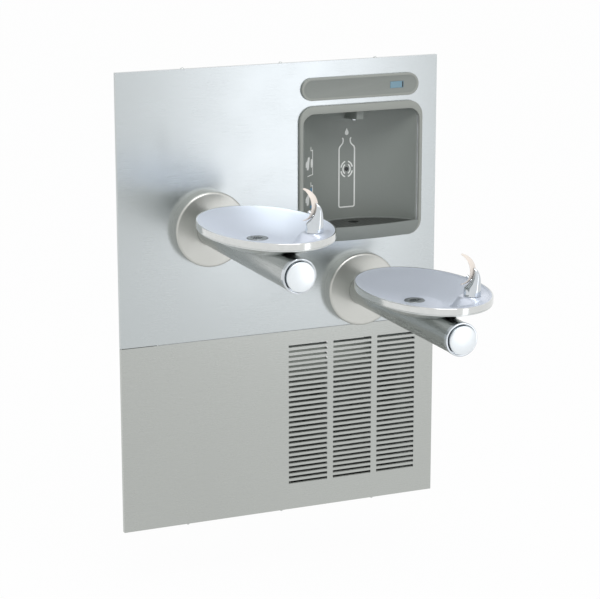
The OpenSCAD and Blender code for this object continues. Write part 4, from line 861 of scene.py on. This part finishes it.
@dataclass
class Fountain:
    """One cantilevered fountain: arm, oval basin, bubbler, collar and button.

    Heights are over the arm's axis. A share is a share of the basin's half widths.

    Attributes:
        side: "left" or "right".
        x: Arm axis, left to right.
        z: Arm axis, height.
        half_x: Half the basin's width.
        half_y: Half its length.
        basin_dx: Middle of the basin, right of the arm.
        basin_y: Middle of the basin, out from the wall.
        rim: Top of the rim.
        band: Height of the polished rim band.
        rim_edge: Radius of the rim's outer edge.
        rim_in: How far the rim's flat top reaches in.
        edge_steps: Straight runs round that edge.
        depth: Depth of the bowl.
        sheet: Thickness of the sheet.
        flat: Share up to which the bowl's floor is flat.
        floor_shares: Rings of the flat floor.
        wall_span: Share from the floor's edge to the wall's last ring.
        wall_rings: Rings of the wall.
        top_share: Share at which the wall reaches the rim.
        bowl_curve: Power of the wall's rise.
        band_share: Share from which faces are polished.
        pan_depth: Foot of the pan under the rim's top.
        pan_lip: Height of the pan's upright lip.
        pan_groove: Height of the groove over the lip.
        pan_flat: Share up to which the pan's foot is flat.
        pan_share: Share of the pan's last ring.
        pan_rings: Rings of its slope.
        pan_curve: Power of its rise.
        lip_turn: How far the lip's foot and its top are turned in.
        pan_in: How far the pan's top reaches in under the bowl.
        arm_r: Radius of the arm's tube.
        arm_wall: Its wall.
        tube_end: Y of its front end.
        tube_back: Y of its back end.
        flange_r: Radius of its flange.
        flange_front: Y of the flange's front.
        bolt_circle: Radius of the bolts' circle.
        bolt_hole_r: Radius of a bolt hole.
        bolts: Number of bolts, the first of them at 45 degrees.
        bolt_cut: Length of the cut of a bolt hole.
        clearance: Gap between the tube's saddle and the pan.
        spring_back: Y of the button spring's fixed end; not used.
        spring_len: Its length at rest; not used.
        button_travel: How far a button, and so its spring, goes in; not used.
        drain_y: Y of the drain.
        tail_r: Radius of the hole for the strainer.
        tail_cut: Length of the cut of that hole.
        bubbler: The bubbler's place, right of the arm and in Y.
        deck_r: Radius of the flat deck under it.
        deck_foot: Radius at which the deck has run out into the bowl.
        deck_drop: How far the deck is under the rim's top.
    """

    side: str
    x: float
    z: float
    half_x: float = 0.162
    half_y: float = 0.246
    basin_dx: float = 0.011
    basin_y: float = -0.386
    rim: float = 0.082
    band: float = 0.016
    rim_edge: float = 0.0025
    rim_in: float = 0.004
    edge_steps: int = 6
    depth: float = 0.041
    sheet: float = 0.0015
    flat: float = 0.28
    floor_shares: Sequence[float] = (0.02, 0.15, 0.28)
    wall_span: float = 0.67
    wall_rings: int = 30
    top_share: float = 0.985
    bowl_curve: float = 1.3
    band_share: float = 0.978
    pan_depth: float = 0.066
    pan_lip: float = 0.003
    pan_groove: float = 0.0015
    pan_flat: float = 0.1
    pan_share: float = 0.9
    pan_rings: int = 18
    pan_curve: float = 2.4
    lip_turn: Flat = (0.0008, 0.0005)
    pan_in: float = 0.004
    arm_r: float = 0.043
    arm_wall: float = 0.002
    tube_end: float = -0.616
    tube_back: float = -0.0108
    flange_r: float = 0.066
    flange_front: float = -0.0188
    bolt_circle: float = 0.054
    bolt_hole_r: float = 0.0043
    bolts: int = 4
    bolt_cut: float = 0.03
    clearance: float = 0.0003
    spring_back: float = -0.6044
    spring_len: float = 0.0301
    button_travel: float = 0.00505
    drain_y: float = -0.361
    tail_r: float = 0.0153
    tail_cut: float = 0.04
    bubbler: Flat = (0.096, -0.501)
    deck_r: float = 0.03
    deck_foot: float = 0.058
    deck_drop: float = 0.006

    @property
    def centre(self) -> Point:
        """Middle of the basin's ovals, at the height of the arm's axis."""
        return self.x + self.basin_dx, self.basin_y, self.z

    @property
    def pan_shares(self) -> list[float]:
        """Shares of the pan's rings, from its middle outwards."""
        span = self.pan_share - self.pan_flat
        slope = [self.pan_flat + span * i / self.pan_rings for i in range(self.pan_rings + 1)]
        return [self.floor_shares[0]] + slope

    def ring(self, share: float, inset: float, height: float) -> Point:
        """Gives one level oval ring of the basin."""
        return self.half_x * share - inset, self.half_y * share - inset, height

    def bowl_z(self, share: float) -> float:
        """Gives the height of the bowl's upper face at a share."""
        rise = max(0.0, (share - self.flat) / (self.top_share - self.flat)) ** self.bowl_curve
        return self.rim - self.depth + (self.depth - self.rim_edge / 2) * rise

    def pan_z(self, share: float) -> float:
        """Gives the height of the pan's lower face at a share.

        Args:
            share: A share of the basin's half widths.

        Returns:
            The height over the arm's axis.
        """
        floor = self.rim - self.pan_depth
        way = (share - self.pan_flat) / (self.pan_share - self.pan_flat)
        rise = max(0.0, way) ** self.pan_curve
        return floor + (self.rim - self.band - self.pan_groove - self.pan_lip - floor) * rise

    def cut(self, piece: bpy.types.Object, cutter: bpy.types.Object) -> None:
        """Cuts a piece with a cutter, and throws the cutter away."""
        Bench.modify(piece, "BOOLEAN", object=cutter, operation="DIFFERENCE", solver="EXACT")
        bpy.data.objects.remove(cutter)

    def finish_piece(self, piece: bpy.types.Object, name: str, node: str, finish: Finish,
                     slot: str = "trim_steel", angle: float = SOFT_DEG) -> None:
        """Settles a piece, puts it in a CAD node's stead and dresses it.

        Args:
            piece: The piece.
            name: Its name, without the side.
            node: The node's name, without the side.
            finish: Its finish.
            slot: Its material slot in the record.
            angle: Edges sharper than this many degrees stay sharp.
        """
        Bench.settle(piece, f"{self.side}_{name}", angle)
        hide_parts(f"{self.side}_{node}")
        place(piece, finish, slot)

    def basin(self) -> None:
        """Draws the bowl with its rim band, and the soft deck under the bubbler."""
        wall = [self.flat + self.wall_span * i / self.wall_rings
                for i in range(1, self.wall_rings + 1)]
        shares = list(self.floor_shares) + wall
        rings = [self.ring(share, 0, self.bowl_z(share) - self.sheet) for share in shares]
        edge = self.rim_edge
        rings += [self.ring(1, self.rim_in + self.sheet, self.rim - edge - self.sheet),
                  self.ring(1, self.sheet, self.rim - 2 * edge),
                  self.ring(1, self.sheet, self.rim - self.band),
                  self.ring(1, 0, self.rim - self.band)]
        for i in range(self.edge_steps + 1):
            turn = math.pi - math.pi / 2 * i / self.edge_steps
            rings.append(self.ring(1, edge + edge * math.cos(turn),
                                   self.rim - edge + edge * math.sin(turn)))
        rings += [self.ring(1, self.rim_in, self.rim - edge / 4)]
        rings += [self.ring(share, 0, self.bowl_z(share)) for share in reversed(shares)]
        bowl = Bench.loft(f"{self.side}_bowl", self.centre, rings)
        self.raise_deck(bowl)
        self.cut(bowl, self.drain_cutter())
        self.finish_piece(bowl, "bowl", "basin", BOWL_STEEL, "bowl_steel")
        bowl.data.materials.append(RIM_STEEL.build())
        for face in bowl.data.polygons:
            high = face.center.z - self.z
            reach = math.hypot((face.center.x - self.centre[0]) / self.half_x,
                               (face.center.y - self.basin_y) / self.half_y)
            if reach > self.band_share and high > self.rim - self.band - self.sheet:
                face.material_index = 1

    def drain_cutter(self) -> bpy.types.Object:
        """Makes the cutter that opens the bowl over the drain.

        Returns:
            The cylinder, which its user throws away.
        """
        Bench.clear()
        bpy.ops.mesh.primitive_cylinder_add(
            vertices=HOLE_SIDES, radius=self.tail_r, depth=self.tail_cut,
            location=(self.x, self.drain_y, self.z + self.rim - self.depth))
        return bpy.context.object

    def raise_deck(self, bowl: bpy.types.Object) -> None:
        """Raises the bowl's floor softly to the flat place that the bubbler stands on.

        Args:
            bowl: The bowl, before its place is put into its mesh.
        """
        top = self.rim - self.deck_drop
        for vertex in bowl.data.vertices:
            x, y, z = vertex.co
            share = math.hypot(x / self.half_x, y / self.half_y)
            if abs(z - self.bowl_z(share)) < self.sheet / 2 and z < top:
                away = math.hypot(x + self.centre[0] - self.x - self.bubbler[0],
                                  y + self.centre[1] - self.bubbler[1])
                fall = min(1.0, max(0.0, (self.deck_foot - away) / (self.deck_foot - self.deck_r)))
                vertex.co.z = z + (top - z) * fall * fall * (3 - 2 * fall)

    def pan(self) -> None:
        """Draws the pan under the bowl, with its upright lip and the groove over it."""
        under_bowl = self.rim - self.band
        lip = under_bowl - self.pan_groove
        top = under_bowl - self.clearance / 3
        foot_turn, top_turn = self.lip_turn
        rings = [self.ring(share, 0, self.pan_z(share)) for share in self.pan_shares]
        rings += [self.ring(1, self.sheet + foot_turn, lip - self.pan_lip),
                  self.ring(1, self.sheet, lip - self.pan_lip / 2),
                  self.ring(1, self.sheet + top_turn, lip), self.ring(1, 2 * self.sheet, lip),
                  self.ring(1, 2 * self.sheet, top),
                  self.ring(1, 2 * self.sheet + self.pan_in, top)]
        rings += [self.ring(share, 0, self.pan_z(share) + self.sheet)
                  for share in reversed(self.pan_shares)]
        pan = Bench.loft(f"{self.side}_pan", self.centre, rings)
        self.finish_piece(pan, "pan", "underpan", PAN_STEEL)

    def arm(self) -> None:
        """Turns the arm's tube with its flange, and cuts its saddle to the pan."""
        inner = self.arm_r - self.arm_wall
        profile = [(inner, self.tube_end), (self.arm_r, self.tube_end),
                   (self.arm_r, self.flange_front), (self.flange_r, self.flange_front),
                   (self.flange_r, self.tube_back), (inner, self.tube_back)]
        arm = Bench.turned(f"{self.side}_arm_tube", (self.x, 0, self.z), profile)
        rings = [self.ring(share, 0, self.pan_z(share) - self.clearance)
                 for share in self.pan_shares]
        rings += [self.ring(1, 0, self.rim)]
        saddle = Bench.loft("saddle_cutter", self.centre, rings)
        self.cut(arm, Bench.settle(saddle, "saddle_cutter"))
        for i in range(self.bolts):
            angle = math.radians(360 * (i + 0.5) / self.bolts)
            Bench.clear()
            bpy.ops.mesh.primitive_cylinder_add(
                vertices=HOLE_SIDES // 2, radius=self.bolt_hole_r, depth=self.bolt_cut,
                rotation=(math.pi / 2, 0, 0),
                location=(self.x + self.bolt_circle * math.cos(angle), self.flange_front,
                          self.z + self.bolt_circle * math.sin(angle)))
            self.cut(arm, bpy.context.object)
        self.finish_piece(arm, "arm_tube", "arm", TUBE_STEEL, angle=EDGE_DEG)

    def fittings(self) -> None:
        """Smooths the cast pieces of the fountain, and dresses the turned ones."""
        side = self.side
        for node, finish, slot in (("bubbler", CHROME, "chrome"),
                                   ("mouth_guard", GUARD_PLASTIC, "cream_plastic")):
            piece = Bench.refine(f"{side}_{node}", f"{side}_{node}_fine", angle=CAST_DEG, levels=1)
            place(piece, finish, slot)
        dress_nodes(PLATE_STEEL, [f"{side}_wall_plate"])
        dress_nodes(CHROME, [f"{side}_jet", f"{side}_collar"])
        dress_nodes(BUTTON_CHROME, [f"{side}_button"])
        dress_nodes(STRAINER, [f"{side}_strainer"])
        self.spring()
        dress_nodes(BRASS, [f"{side}_valve"])

    def spring(self) -> None:
        """Refines the button's spring, dresses it and gives it a mesh of its own."""
        coil = Bench.refine(f"{self.side}_button_spring", f"{self.side}_button_coil",
                            angle=SOFT_DEG)
        place(coil, PLATED, "trim_steel")
        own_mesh(coil)

    def build(self) -> None:
        """Makes the whole fountain."""
        self.basin()
        self.pan()
        self.arm()
        self.fittings()


@dataclass
class Chiller:
    """The cold water works behind the louvres, and the filter and valves above them."""

    finishes: Sequence[tuple[Finish, Sequence[str]]] = (
        (PALE_PLASTIC, ("water_tubes", "waste_pipes", "cooling_tank", "filter_head")),
        (FILTER_PLASTIC, ("filter_cartridge",)),
        (BLACK_PAINT, ("compressor",)),
        (BLACK_PLASTIC, ("fan_shroud", "fan_motor")),
        (FINS, ("condenser", "fan_blade")),
        (COPPER, ("refrigerant_lines",)),
        (BRASS, ("stop_valve",)),
        (BLUE_PAINT, ("stop_valve_lever",)))

    def build(self) -> None:
        """Dresses the works."""
        for finish, names in self.finishes:
            dress_nodes(finish, names)


def main() -> None:
    """Loads the frame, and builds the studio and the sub-assemblies."""
    logging.basicConfig(level=logging.INFO, format="%(name)s: %(message)s")
    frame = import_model()
    NODES.update(frame["nodes"])
    Studio().build()
    WallPanels().build()
    Alcove().build()
    ControlFascia().build()
    Fountain("left", -0.214, 0.200).build()
    Fountain("right", 0.231, -0.006).build()
    Chiller().build()


if __name__ == "__main__":
    main()
